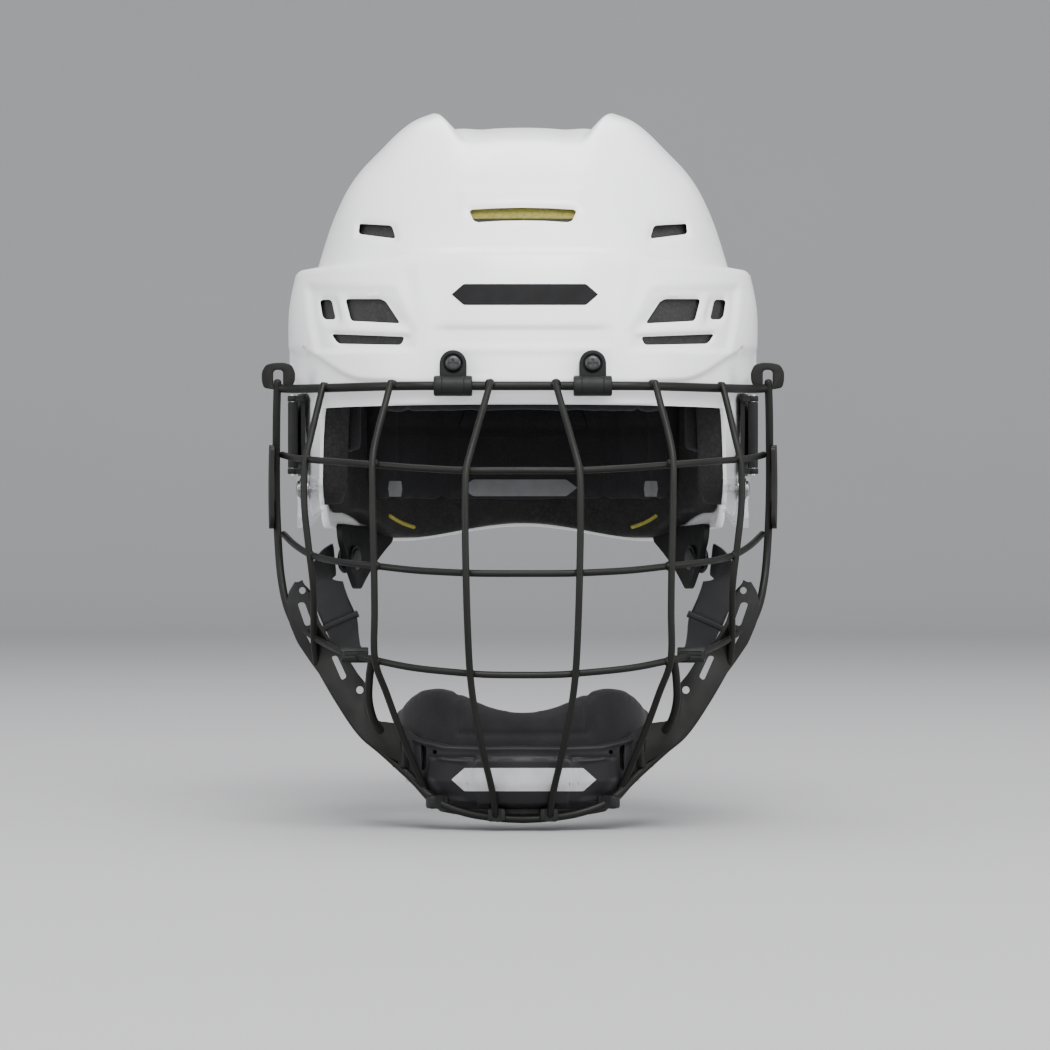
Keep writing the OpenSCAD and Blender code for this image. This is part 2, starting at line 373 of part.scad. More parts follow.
front_shell();
vent_insert();
front_liner();
brow_pad();
temple_pad(true);  // temple_pad_left
temple_pad(false);  // temple_pad_right
ear_guard(true);  // ear_guard_left
ear_guard(false);  // ear_guard_right
ear_guard_screws();
j_clip(true);  // j_clip_left
j_clip(false);  // j_clip_right
j_clip_screws();
j_clip_nuts();
temple_insert(true);  // temple_insert_left
temple_insert(false);  // temple_insert_right
strap_tab(true);  // strap_tab_left
strap_tab(false);  // strap_tab_right
tab_studs();
lock_base(true);  // lock_base_left
lock_base(false);  // lock_base_right
lock_pins();
rear_shell();
rear_liner();
liner_trim();
occipital_pad();
crown_pad();
lock_lever(true);  // lock_lever_left
lock_lever(false);  // lock_lever_right
top_wire();
frame_wire(true);  // frame_wire_left
frame_wire(false);  // frame_wire_right
brow_wire();
mid_wire();
mouth_wire();
inner_wire(true);  // inner_wire_left
inner_wire(false);  // inner_wire_right
middle_wire(true);  // middle_wire_left
middle_wire(false);  // middle_wire_right
outer_wire(true);  // outer_wire_left
outer_wire(false);  // outer_wire_right
jaw_struts();
jaw_loops();
temple_eyelet(true);  // temple_eyelet_left
temple_eyelet(false);  // temple_eyelet_right
cheek_plate(true);  // cheek_plate_left
cheek_plate(false);  // cheek_plate_right
jaw_plate(true);  // jaw_plate_left
jaw_plate(false);  // jaw_plate_right
chin_cup();
chin_foam();
chin_clips();
strap_lead(true);  // strap_lead_left
strap_lead(false);  // strap_lead_right
side_strap(true);  // side_strap_left
side_strap(false);  // side_strap_right
strap_hook(true);  // strap_hook_left
strap_hook(false);  // strap_hook_right
strap_snap(true);  // strap_snap_left
strap_snap(false);  // strap_snap_right
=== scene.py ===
"""Looks of the ice hockey helmet with its wire face cage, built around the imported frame.
Lengths in the helpers are millimetres in the part's frame; meshes are written in metres."""

import math

import bmesh
import bpy
import numpy as np
from mathutils import Matrix, Vector
from mathutils.bvhtree import BVHTree


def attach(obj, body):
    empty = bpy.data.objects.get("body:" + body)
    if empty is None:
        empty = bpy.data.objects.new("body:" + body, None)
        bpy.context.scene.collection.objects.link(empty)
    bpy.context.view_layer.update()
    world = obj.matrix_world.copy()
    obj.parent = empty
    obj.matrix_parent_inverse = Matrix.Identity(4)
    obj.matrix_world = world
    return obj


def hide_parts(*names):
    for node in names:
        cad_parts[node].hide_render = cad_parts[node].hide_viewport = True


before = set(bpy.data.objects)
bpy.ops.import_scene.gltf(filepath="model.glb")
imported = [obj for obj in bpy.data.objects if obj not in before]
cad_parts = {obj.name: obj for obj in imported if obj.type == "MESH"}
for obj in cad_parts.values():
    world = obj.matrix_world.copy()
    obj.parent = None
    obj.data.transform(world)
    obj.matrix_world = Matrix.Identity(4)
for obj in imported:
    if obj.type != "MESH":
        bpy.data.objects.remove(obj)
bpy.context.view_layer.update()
LR = (("left", 1.0), ("right", -1.0))

# ---------------------------------------------------------------- small maths
def sm(a, b, v):
    t = np.clip((np.asarray(v, float) - a) / (b - a), 0.0, 1.0)
    return t * t * (3 - 2 * t)


def arr(*p):
    return np.array(p, float)


def unit(v):
    v = np.asarray(v, float)
    return v / (np.linalg.norm(v, axis=-1, keepdims=True) + 1e-12)


# camera of the picture: 2 m in front, level, 54 mm under the brow edge
CAM_D, CAM_Z, PX0, PY0, MMPX = 2000.0, -54.0, 523.0, 525.0, 0.45


def to_px(p):
    k = CAM_D / (CAM_D + p[..., 1])
    return PX0 + p[..., 0] / MMPX * k, PY0 - (p[..., 2] - CAM_Z) / MMPX * k


def at_px(px, py, y):
    k = (CAM_D + y) / CAM_D
    return arr((px - PX0) * MMPX * k, y, CAM_Z + (PY0 - py) * MMPX * k)


# ---------------------------------------------------------------- shell surface
SA, SBF, SBR, YC, SC, SL, SP, SQ = 100.0, 127.0, 128.0, 5.0, 126.0, 200.0, 2.2, 2.5


def reach(th):
    s, c = np.abs(np.sin(th)), np.cos(th)
    b = np.where(c > 0, SBF, SBR)
    return ((s / SA) ** SP + (np.abs(c) / b) ** SP) ** (-1 / SP)


def prof(z):
    h = np.where(z >= 0, SC, SL)
    return (1 - np.clip(np.abs(z) / h, 0, 0.99999) ** SQ) ** (1 / SQ)


def grad(x, y, z):
    b = np.where(y < 0, SBF, SBR)
    h = np.where(z >= 0, SC, SL)
    m = np.maximum((np.abs(x) / SA) ** SP + (np.abs(y) / b) ** SP, 1e-9)
    f = m ** (SQ / SP - 1)
    g = np.stack([np.sign(x) * f * np.abs(x) ** (SP - 1) / SA ** SP,
                  np.sign(y) * f * np.abs(y) ** (SP - 1) / b ** SP,
                  np.sign(z) * np.abs(z) ** (SQ - 1) / h ** SQ + 1e-12], -1)
    return unit(g)


def base_pt(th, z=None, tau=None):
    """Point and normal of the bare shell surface (before YC is added to y)."""
    if tau is not None:
        z = SC * np.sin(tau) ** (2 / SQ)
        pr = np.cos(tau) ** (2 / SQ)
    else:
        pr = prof(z)
    r = reach(th) * pr
    x, y = r * np.sin(th), -r * np.cos(th)
    return x, y, z, grad(x, y, z)


def ridge(x, y, z):
    a = np.abs(x)
    a_in = 31.6 - 8.0 * (1 - sm(-80, -14, y))
    up = sm(a_in, a_in + 6.2, a)
    down = 1 - 0.52 * sm(42, 66, a) - 0.48 * sm(62, 97, a)
    return (9.3 * up * down - 2.2 * (1 - sm(17, 31, a))) * sm(-82, -38, y) * (1 - sm(70, 112, y)) * sm(62, 96, z)


def poly_sdf(poly, x, y):
    """Signed distance to a closed polygon, negative inside."""
    p = np.asarray(poly, float)
    d = np.full(np.shape(x), 1e9)
    s = np.ones(np.shape(x))
    n = len(p)
    for i in range(n):
        a, b = p[i], p[(i + 1) % n]
        ex, ey = b - a
        wx, wy = x - a[0], y - a[1]
        t = np.clip((wx * ex + wy * ey) / (ex * ex + ey * ey), 0, 1)
        d = np.minimum(d, (wx - ex * t) ** 2 + (wy - ey * t) ** 2)
        c1, c2, c3 = y >= a[1], y < b[1], ex * wy > ey * wx
        s = np.where((c1 & c2 & c3) | (~c1 & ~c2 & ~c3), -s, s)
    return s * np.sqrt(d)


# front features, as the camera sees them; the left ones are mirrored about the midline
VENTS = {
    "main": [(345.5, 299), (381, 299), (386, 301.5), (400.5, 323.5), (352.5, 321), (350.5, 318.5)],
    "small": [(320, 300), (331.5, 299.5), (336, 319.5), (325.5, 319.5), (322.5, 316)],
    "slot": [(331.5, 334), (405, 336.8), (401.5, 345), (340, 343.8), (337, 342)],
    "upper": [(359.5, 225), (360.5, 223.8), (392, 225.5), (396, 238.8), (358.5, 234)],
}
CROWN_VENT = [(469.5, 211.6), (472, 209.6), (497, 208.2), (523, 207.6), (549, 208.2), (574, 209.6), (576.5, 211.6), (572.5, 220.6), (568, 222.4), (545, 221.0), (523, 220.6), (501, 221.0), (478, 222.4), (473.5, 220.6)]


def mirror_px(poly):
    return [(2 * PX0 - x, y) for x, y in poly][::-1]


ALL_VENTS = [v for v in VENTS.values()] + [mirror_px(v) for v in VENTS.values()] + [CROWN_VENT]


def band(th, x, y, z):
    """The brow band: a raised belt with a crisp top step and a rolled lower edge."""
    a = np.abs(np.degrees(th))
    top = 59.0 + 3.5 * (1 - sm(20, 34, a))
    fade = 1 - sm(112, 128, a)
    low = 5.0 + 4.5 * sm(50, 75, a)
    crisp = 1 - sm(top - 3.0, top + 1.6, z)
    soft_front = 0.75 * (1 - sm(22, 38, a))
    wide = 1 - sm(top - 9, top + 14, z)
    up = crisp * (1 - soft_front) + wide * soft_front
    neck = 0.9 * sm(top - 1.5, top + 2.5, z) * (1 - sm(top + 2, 84, z)) * sm(40, 62, a)
    wide_top = 2.3 * sm(16, 46, z) * sm(48, 72, a)
    return ((5.5 + wide_top) * sm(low - 7.0, low + 3.0, z) * up - neck) * fade


def front_detail(x, y, z):
    """Small relief on the face side, in millimetres along the normal; x, y, z are row-frame points."""
    p = np.stack([x, y, z], -1)
    px, py = to_px(p)
    f = 1 - sm(-20, 6, y)
    dx = np.abs(px - PX0)
    out = np.zeros(np.shape(x))
    # forehead panel, standing slightly proud between two soft edges
    side = 1 - sm(100, 122, dx + 0.16 * (py - 255))
    yt = 250 + 9 * sm(60, 112, dx)
    panel = sm(yt - 3, yt + 6, py) * (1 - sm(396, 404, py)) * side
    out += 1.3 * panel
    # fold line over the clips: full above, set back below, then a faint rib
    fold = (1 - sm(70, 96, dx))
    out -= 1.3 * sm(324, 331, py) * fold * (1 - sm(372, 392, py))
    out += 0.55 * np.exp(-((py - 349) / 5.0) ** 2) * fold
    # side pods: shallow sunk fields round the vents
    pod = poly_sdf([(306, 286), (392, 288), (414, 330), (412, 350), (316, 352), (309, 320)], PX0 - dx, py)
    out -= 1.2 * (1 - sm(-4.0, 2.5, pod))
    # rolled chin of the band, running up towards the temples
    yc = 384.0 - 30.0 * sm(150, 226, dx) ** 1.5 - 3.0 * sm(60, 160, dx)
    out -= 2.0 * sm(yc - 3.5, yc + 2.5, py) * sm(110, 150, dx)
    # the lips of the vents roll in
    d = np.full(np.shape(x), 1e9)
    for v in ALL_VENTS:
        d = np.minimum(d, poly_sdf(v, px, py))
    out -= 1.5 * (1 - sm(0.0, 5.0, d)) ** 1.5
    # raised brow over the crown vent
    lip = poly_sdf([(462, 190), (584, 190), (582, 206), (464, 206)], px, py)
    out += 0.7 * (1 - sm(-6, 8, lip))
    return out * f


def rim_front(a):
    return np.where(a < 54, -3.0, np.where(a < 59, -3 - 42 * sm(54, 59, a), np.where(a < 67, -45 - 5 * sm(59, 64, a), -50 + 44 * sm(67, 77, a))))


def rim_rear(a):
    return -6 - 50 * sm(98, 112, a) - 6 * sm(118, 140, a) + 7 * sm(150, 180, a)


# ---------------------------------------------------------------- mesh makers
def put(name, verts_mm, faces, smooth=True, angle=None):
    me = bpy.data.meshes.new(name)
    me.from_pydata((np.asarray(verts_mm, float) * 0.001).tolist(), [], faces)
    me.validate(clean_customdata=False)
    ob = bpy.data.objects.new(name, me)
    bpy.context.scene.collection.objects.link(ob)
    fix_normals(ob)
    shade(ob, smooth, angle)
    return ob


def fix_normals(ob):
    bm = bmesh.new()
    bm.from_mesh(ob.data)
    bmesh.ops.recalc_face_normals(bm, faces=bm.faces)
    bm.to_mesh(ob.data)
    bm.free()


def shade(ob, smooth=True, angle=None):
    me = ob.data
    me.polygons.foreach_set("use_smooth", [bool(smooth)] * len(me.polygons))
    if angle is not None:
        me.set_sharp_from_angle(angle=math.radians(angle))
    me.update()


def bake(ob):
    """Applies every modifier of ob."""
    dg = bpy.context.evaluated_depsgraph_get()
    dg.update()
    me = bpy.data.meshes.new_from_object(ob.evaluated_get(dg), preserve_all_data_layers=True, depsgraph=dg)
    ob.modifiers.clear()
    old = ob.data
    ob.data = me
    bpy.data.meshes.remove(old)
    return ob


def drop(ob):
    me = ob.data
    bpy.data.objects.remove(ob, do_unlink=True)
    if me.users == 0:
        bpy.data.meshes.remove(me)


def boolean(ob, cutter, op="DIFFERENCE", solver="MANIFOLD", keep=False):
    m = ob.modifiers.new("b", "BOOLEAN")
    m.operation = op
    m.object = cutter
    m.solver = solver
    n0 = len(ob.data.vertices)
    bake(ob)
    if len(ob.data.polygons) == 0:
        raise RuntimeError("boolean emptied " + ob.name)
    if not keep:
        drop(cutter)
    return ob


def bevel(ob, w, seg=2, angle=35):
    m = ob.modifiers.new("bev", "BEVEL")
    m.width = w * 0.001
    m.segments = seg
    m.limit_method = "ANGLE"
    m.angle_limit = math.radians(angle)
    m.harden_normals = False
    m.use_clamp_overlap = True
    return bake(ob)


def subsurf(ob, n=1):
    m = ob.modifiers.new("s", "SUBSURF")
    m.levels = m.render_levels = n
    return bake(ob)


def join(name, obs):
    verts, faces, base, mats = [], [], 0, []
    for o in obs:
        for v in o.data.vertices:
            verts.append(tuple(o.matrix_world @ v.co))
        for f in o.data.polygons:
            faces.append([i + base for i in f.vertices])
        base += len(o.data.vertices)
    me = bpy.data.meshes.new(name)
    me.from_pydata(verts, [], faces)
    ob = bpy.data.objects.new(name, me)
    bpy.context.scene.collection.objects.link(ob)
    for o in obs:
        drop(o)
    shade(ob, True, 40)
    return ob


def grid_faces(nu, nv, base=0, wrap_u=False, flip=False):
    f = []
    last = nu if wrap_u else nu - 1
    for j in range(nv - 1):
        for i in range(last):
            a = base + j * nu + i
            b = base + j * nu + (i + 1) % nu
            q = [a, b, b + nu, a + nu]
            f.append(q[::-1] if flip else q)
    return f


def cap_mesh(name, rim, o_out, o_in, deco_out, deco_in, nth=360, ns=40, nd=100, r=1.0, z0=30.0, coarse_in=None):
    """A closed shell of revolution-like form between two offsets, with a rounded lower edge."""
    def side(off, deco, nth, ns, nd, sgn):
        th = np.linspace(-math.pi, math.pi, nth, endpoint=False)
        rows = []
        a = np.abs(np.degrees(th))
        rz = rim(a)
        def level(zz, extra):
            x, y, z, n = base_pt(th, z=zz)
            d = deco(th, x, y, z)
            rows.append(np.stack([x, y + YC, z], -1) + n * (off + d + extra)[:, None])
        for k in range(4):
            ang = k / 3 * math.pi / 2
            level(rz + r * (1 - math.cos(ang)), -sgn * r * (1 - math.sin(ang)) * np.ones(nth))
        for k in range(1, ns + 1):
            level((rz + r) + (z0 - rz - r) * k / ns, np.zeros(nth))
        t0 = math.asin((z0 / SC) ** (SQ / 2))
        t1 = math.radians(88.2)
        for k in range(1, nd + 1):
            u = k / nd
            tau = t0 + (t1 - t0) * u
            x, y, z, n = base_pt(th, tau=np.full(nth, tau))
            d = deco(th, x, y, z)
            rows.append(np.stack([x, y + YC, z], -1) + n * (off + d)[:, None])
        v = np.concatenate(rows)
        top = np.array([[0, YC, rows[-1][:, 2].mean() + 0.02]])
        return np.concatenate([v, top]), len(rows), nth

    vo, ro, no = side(o_out, deco_out, nth, ns, nd, 1)
    vi, ri, ni = side(o_in, deco_in, nth, ns, nd, -1)
    faces = grid_faces(no, ro, 0, True)
    top = len(vo) - 1
    faces += [[(ro - 1) * no + i, (ro - 1) * no + (i + 1) % no, top] for i in range(no)]
    b = len(vo)
    faces += grid_faces(ni, ri, b, True, True)
    topi = b + len(vi) - 1
    faces += [[b + (ri - 1) * ni + (i + 1) % ni, b + (ri - 1) * ni + i, topi] for i in range(ni)]
    faces += [[(i + 1) % no, i, b + i, b + (i + 1) % no] for i in range(no)]
    return put(name, np.concatenate([vo, vi]), faces)


def prism_y(name, poly_px, y0, y1, r=1.2, seg=4):
    """A cutter with rounded corners that the camera sees as poly_px, from depth y0 to y1."""
    pts = round_poly(poly_px, r / MMPX * 0.94, seg)
    n = len(pts)
    v = [at_px(x, y, y0) for x, y in pts] + [at_px(x, y, y1) for x, y in pts]
    f = [list(range(n)), list(range(2 * n - 1, n - 1, -1))] + [[i, i + n, (i + 1) % n + n, (i + 1) % n] for i in range(n)]
    return put(name, v, f, False)


def round_poly(poly, r, seg=4):
    """Rounds each corner of a polygon with a quadratic blend of reach r."""
    p = [np.array(q[:2], float) for q in poly]
    n, out = len(p), []
    for i in range(n):
        a, b, c = p[i - 1], p[i], p[(i + 1) % n]
        la, lc = np.linalg.norm(a - b), np.linalg.norm(c - b)
        t = min(r, la * 0.45, lc * 0.45)
        s, e = b + (a - b) / la * t, b + (c - b) / lc * t
        for k in range(seg + 1):
            u = k / seg
            out.append(tuple((1 - u) ** 2 * s + 2 * u * (1 - u) * b + u * u * e))
    return out


def patch_mesh(name, a0, a1, z0, z1, o_out, o_in, na=60, nz=30, deco=None, shape=None, edge=1.0):
    """A piece of the shell surface between two offsets, with flat sides. shape(u, v) in 0..1 adds to the outer
    (inner-facing) offset.
    """
    if callable(z0) or callable(z1):
        f0, f1 = (z0 if callable(z0) else (lambda a: z0)), (z1 if callable(z1) else (lambda a: z1))
    else:
        f0, f1 = (lambda a: z0), (lambda a: z1)
    us, vs = np.linspace(0, 1, na + 1), np.linspace(0, 1, nz + 1)
    U, V = np.meshgrid(us, vs)
    TH = np.radians(a0 + (a1 - a0) * U)
    z_lo = np.vectorize(f0)(np.degrees(TH))
    z_hi = np.vectorize(f1)(np.degrees(TH))
    Z = z_lo + (z_hi - z_lo) * V
    x, y, z, n = base_pt(TH, z=Z)
    d = deco(TH, x, y, z) if deco else 0.0 * x
    bump = shape(U, V) if shape else 0.0 * U
    o = np.stack([x, y + YC, z], -1) + n * (o_out + d)[..., None]
    i = np.stack([x, y + YC, z], -1) + n * (o_in + d - bump)[..., None]
    w = na + 1
    m = w * (nz + 1)
    v = np.concatenate([o.reshape(-1, 3), i.reshape(-1, 3)])
    f = grid_faces(w, nz + 1, 0) + grid_faces(w, nz + 1, m, False, True)
    for j in range(na):
        f.append([j + 1, j, m + j, m + j + 1])
        k = nz * w + j
        f.append([k, k + 1, m + k + 1, m + k])
    for j in range(nz):
        k = j * w
        f.append([k, k + w, m + k + w, m + k])
        k = j * w + na
        f.append([k + w, k, m + k, m + k + w])
    return put(name, v, f)


def hermite_path(p, n):
    p = [np.array(q, float) for q in p]
    l, out = len(p), []
    for i in range(l - 1):
        a = 2 * p[0] - p[1] if i == 0 else p[i - 1]
        b, c = p[i], p[i + 1]
        d = 2 * p[-1] - p[-2] if i == l - 2 else p[i + 2]
        m1, m2 = (c - a) / 2, (d - b) / 2
        for j in range(n):
            t = j / n
            t2, t3 = t * t, t * t * t
            out.append((2 * t3 - 3 * t2 + 1) * b + (t3 - 2 * t2 + t) * m1 + (-2 * t3 + 3 * t2) * c + (t3 - t2) * m2)
    out.append(p[-1])
    return np.array(out)


def resample(path, step):
    d = np.concatenate([[0], np.cumsum(np.linalg.norm(np.diff(path, axis=0), axis=1))])
    n = max(2, int(round(d[-1] / step)) + 1)
    s = np.linspace(0, d[-1], n)
    return np.stack([np.interp(s, d, path[:, k]) for k in range(3)], 1)


def relax(path, n=3):
    p = path.copy()
    for _ in range(n):
        p[1:-1] = 0.25 * p[:-2] + 0.5 * p[1:-1] + 0.25 * p[2:]
    return p


def frames(path, ref=None):
    t = unit(np.gradient(path, axis=0))
    n = np.zeros_like(path)
    r = np.array(ref if ref is not None else ([0, 0, 1] if abs(t[0][2]) < 0.9 else [1, 0, 0]), float)
    n[0] = unit(r - t[0] * (r @ t[0]))
    for i in range(1, len(path)):
        v = n[i - 1] - t[i] * (n[i - 1] @ t[i])
        n[i] = unit(v)
    return t, n, np.cross(t, n)


def tube_data(path, r, sides=14, ends="round", ref=None, flat=None):
    t, n, b = frames(path, ref)
    rad = np.full(len(path), float(r)) if np.isscalar(r) else np.asarray(r, float)
    P, T, N, B, R = [path], [t], [n], [b], [rad]
    if ends == "round":
        for at, sgn in ((0, -1), (-1, 1)):
            k = [(math.cos(a), math.sin(a)) for a in np.linspace(0, math.pi / 2, 5)[1:-1]]
            pts = np.array([path[at] + sgn * t[at] * rad[at] * 0.8 * s for c, s in k])
            rr = np.array([rad[at] * c for c, s in k])
            nn, bb, tt = np.repeat(n[at][None], 3, 0), np.repeat(b[at][None], 3, 0), np.repeat(t[at][None], 3, 0)
            if at == 0:
                P.insert(0, pts[::-1]); R.insert(0, rr[::-1]); N.insert(0, nn); B.insert(0, bb); T.insert(0, tt)
            else:
                P.append(pts); R.append(rr); N.append(nn); B.append(bb); T.append(tt)
    P, R, N, B, T = map(np.concatenate, (P, R, N, B, T))
    ang = np.linspace(0, 2 * math.pi, sides, endpoint=False)
    sx, sy = (1, 1) if flat is None else flat
    v = P[:, None] + R[:, None, None] * (N[:, None] * (np.cos(ang) * sx)[None, :, None] + B[:, None] * (np.sin(ang) * sy)[None, :, None])
    m = len(P)
    f = grid_faces(sides, m, 0, True)
    v = v.reshape(-1, 3)
    tip = 0.8 * R[0] if ends == "round" else 0
    e0 = P[0] - T[0] * (0.25 * R[0] if ends == "round" else 0)
    e1 = P[-1] + T[-1] * (0.25 * R[-1] if ends == "round" else 0)
    v = np.concatenate([v, [e0, e1]])
    f += [[(i + 1) % sides, i, len(v) - 2] for i in range(sides)]
    f += [[(m - 1) * sides + i, (m - 1) * sides + (i + 1) % sides, len(v) - 1] for i in range(sides)]
    return v, f


def tube(name, path, r, **kw):
    v, f = tube_data(path, r, **kw)
    return put(name, v, f)


def merge_data(parts):
    V, F, b = [], [], 0
    for v, f in parts:
        V.append(np.asarray(v, float))
        F += [[i + b for i in q] for q in f]
        b += len(v)
    return np.concatenate(V), F


def lathe_data(profile, seg=48, axis=(0, 0, 1), at=(0, 0, 0), close=True):
    """profile: (radius, height) pairs from the axis outwards and back to it."""
    a = unit(arr(*axis))
    u = unit(np.cross(a, arr(0, 0, 1) if abs(a[2]) < 0.9 else arr(1, 0, 0)))
    w = np.cross(a, u)
    v, f = [], []
    for r, h in profile:
        for k in range(seg):
            t = 2 * math.pi * k / seg
            v.append(arr(*at) + a * h + (u * math.cos(t) + w * math.sin(t)) * max(r, 1e-4))
    m = len(profile)
    f = grid_faces(seg, m, 0, True)
    if close:
        f += [[k for k in range(seg)][::-1], [(m - 1) * seg + k for k in range(seg)]]
    return np.array(v), f


def box_data(c, s, R=None):
    c, s = np.asarray(c, float), np.asarray(s, float) / 2
    v = np.array([[x, y, z] for z in (-1, 1) for y in (-1, 1) for x in (-1, 1)], float) * s
    if R is not None:
        v = v @ np.asarray(R).T
    f = [[0, 2, 3, 1], [4, 5, 7, 6], [0, 1, 5, 4], [2, 6, 7, 3], [0, 4, 6, 2], [1, 3, 7, 5]]
    return v + c, f


def extrude_data(poly, h0, h1, to3d):
    """Prism over a 2-D polygon; to3d(x, y, h) gives the point."""
    n = len(poly)
    v = [to3d(x, y, h0) for x, y in poly] + [to3d(x, y, h1) for x, y in poly]
    f = [list(range(n)), list(range(2 * n - 1, n - 1, -1))] + [[i, i + n, (i + 1) % n + n, (i + 1) % n] for i in range(n)]
    return np.array(v, float), f


def rot_z(a):
    c, s = math.cos(a), math.sin(a)
    return np.array([[c, -s, 0], [s, c, 0], [0, 0, 1.0]])


def mirror_obj(ob, name):
    me = ob.data.copy()
    me.name = name
    o = bpy.data.objects.new(name, me)
    bpy.context.scene.collection.objects.link(o)
    me.transform(Matrix.Scale(-1, 4, (1, 0, 0)))
    me.flip_normals()
    me.update()
    return o


# ---------------------------------------------------------------- materials
class Mat:
    """A small helper for procedural materials on object coordinates (metres)."""

    def __init__(self, name):
        self.m = bpy.data.materials.new(name)
        self.m.use_nodes = True
        self.nt = self.m.node_tree
        self.nt.nodes.clear()
        self.out = self.nt.nodes.new("ShaderNodeOutputMaterial")
        self.b = self.nt.nodes.new("ShaderNodeBsdfPrincipled")
        self.nt.links.new(self.b.outputs[0], self.out.inputs[0])
        self.tc = self.nt.nodes.new("ShaderNodeTexCoord")
        self.co = self.tc.outputs["Object"]
        self.uv = self.tc.outputs["UV"]
        self.normal = None

    def set(self, **kw):
        names = {"rough": "Roughness", "metal": "Metallic", "coat": "Coat Weight", "coat_rough": "Coat Roughness", "spec": "Specular IOR Level", "ior": "IOR",
                 "trans": "Transmission Weight", "sheen": "Sheen Weight", "sheen_rough": "Sheen Roughness", "sss": "Subsurface Weight", "sss_scale": "Subsurface Scale", "alpha": "Alpha"}
        for k, v in kw.items():
            if k == "color":
                self.b.inputs["Base Color"].default_value = (*v, 1)
            elif k == "sheen_tint":
                self.b.inputs["Sheen Tint"].default_value = (*v, 1)
            elif k == "sss_radius":
                self.b.inputs["Subsurface Radius"].default_value = v
            else:
                self.b.inputs[names[k]].default_value = v
        return self

    def node(self, kind, **inputs):
        n = self.nt.nodes.new(kind)
        for k, v in inputs.items():
            if hasattr(v, "is_output") or isinstance(v, bpy.types.NodeSocket):
                self.nt.links.new(v, n.inputs[k])
            else:
                n.inputs[k].default_value = v
        return n

    def scaled(self, sx, sy=None, sz=None, rot=(0, 0, 0), co=None):
        n = self.nt.nodes.new("ShaderNodeMapping")
        self.nt.links.new(co or self.co, n.inputs["Vector"])
        n.inputs["Scale"].default_value = (sx, sy if sy is not None else sx, sz if sz is not None else sx)
        n.inputs["Rotation"].default_value = rot
        return n.outputs[0]

    def noise(self, scale, detail=3.0, rough=0.5, co=None, out="Fac"):
        n = self.node("ShaderNodeTexNoise", Scale=scale, Detail=detail, Roughness=rough)
        self.nt.links.new(co or self.co, n.inputs["Vector"])
        return n.outputs[out] if out in n.outputs else n.outputs[0]

    def voronoi(self, scale, feature="F1", co=None, out="Distance", smooth=None):
        n = self.nt.nodes.new("ShaderNodeTexVoronoi")
        n.feature = feature
        n.inputs["Scale"].default_value = scale
        self.nt.links.new(co or self.co, n.inputs["Vector"])
        return n.outputs[out]

    def math(self, op, a, b=0.5, c=None):
        n = self.nt.nodes.new("ShaderNodeMath")
        n.operation = op
        for i, v in enumerate((a, b) if c is None else (a, b, c)):
            if isinstance(v, bpy.types.NodeSocket):
                self.nt.links.new(v, n.inputs[i])
            else:
                n.inputs[i].default_value = v
        return n.outputs[0]

    def remap(self, v, a, b, c=0.0, d=1.0):
        n = self.nt.nodes.new("ShaderNodeMapRange")
        self.nt.links.new(v, n.inputs["Value"])
        for k, x in zip(("From Min", "From Max", "To Min", "To Max"), (a, b, c, d)):
            n.inputs[k].default_value = x
        return n.outputs[0]

    def mix(self, fac, a, b):
        n = self.nt.nodes.new("ShaderNodeMix")
        n.data_type = "RGBA"
        for k, v in ((0, fac), (6, a), (7, b)):
            if isinstance(v, bpy.types.NodeSocket):
                self.nt.links.new(v, n.inputs[k])
            elif k == 0:
                n.inputs[0].default_value = v
            else:
                n.inputs[k].default_value = (*v, 1)
        return n.outputs[2]

    def wave(self, scale, co, direction="X", kind="SIN", dist=0.0):
        n = self.nt.nodes.new("ShaderNodeTexWave")
        n.wave_type = "BANDS"
        n.bands_direction = direction
        n.wave_profile = kind
        n.inputs["Scale"].default_value = scale
        n.inputs["Distortion"].default_value = dist
        self.nt.links.new(co, n.inputs["Vector"])
        return n.outputs["Fac"]

    def link(self, sock, name):
        self.nt.links.new(sock, self.b.inputs[name])
        return self

    def bump(self, height, dist_mm, strength=1.0):
        n = self.nt.nodes.new("ShaderNodeBump")
        n.inputs["Strength"].default_value = strength
        n.inputs["Distance"].default_value = dist_mm * 0.001
        self.nt.links.new(height, n.inputs["Height"])
        if self.normal is not None:
            self.nt.links.new(self.normal, n.inputs["Normal"])
        self.normal = n.outputs[0]
        self.nt.links.new(self.normal, self.b.inputs["Normal"])
        return self

    def pointiness(self, a, b):
        n = self.nt.nodes.new("ShaderNodeNewGeometry")
        return self.remap(n.outputs["Pointiness"], a, b)


def shell_white():
    m = Mat("shell_white_gloss")
    m.set(rough=0.32, coat=0.35, coat_rough=0.12, ior=1.49, sss=0.06, sss_scale=0.004, sss_radius=(1.0, 0.9, 0.8))
    soft = m.noise(9.0, 4.0, 0.55)
    c = m.mix(m.remap(soft, 0.3, 0.7), (0.865, 0.866, 0.872), (0.895, 0.896, 0.902))
    scuff = m.noise(1.0, 6.0, 0.62, co=m.scaled(240, 60, 500))
    rare = m.remap(m.noise(26.0, 2.0), 0.60, 0.72)
    marks = m.math("MULTIPLY", m.remap(scuff, 0.63, 0.70), rare)
    c = m.mix(m.math("MULTIPLY", marks, 0.35), c, (0.45, 0.45, 0.45))
    m.link(c, "Base Color")
    r = m.remap(m.noise(70.0, 5.0, 0.6), 0.25, 0.75, 0.26, 0.40)
    r2 = m.math("ADD", r, m.math("MULTIPLY", marks, 0.25))
    m.link(r2, "Roughness")
    m.bump(m.noise(420.0, 2.0, 0.5), 0.030, 0.5)
    m.bump(marks, 0.05, 0.5)
    return m.m


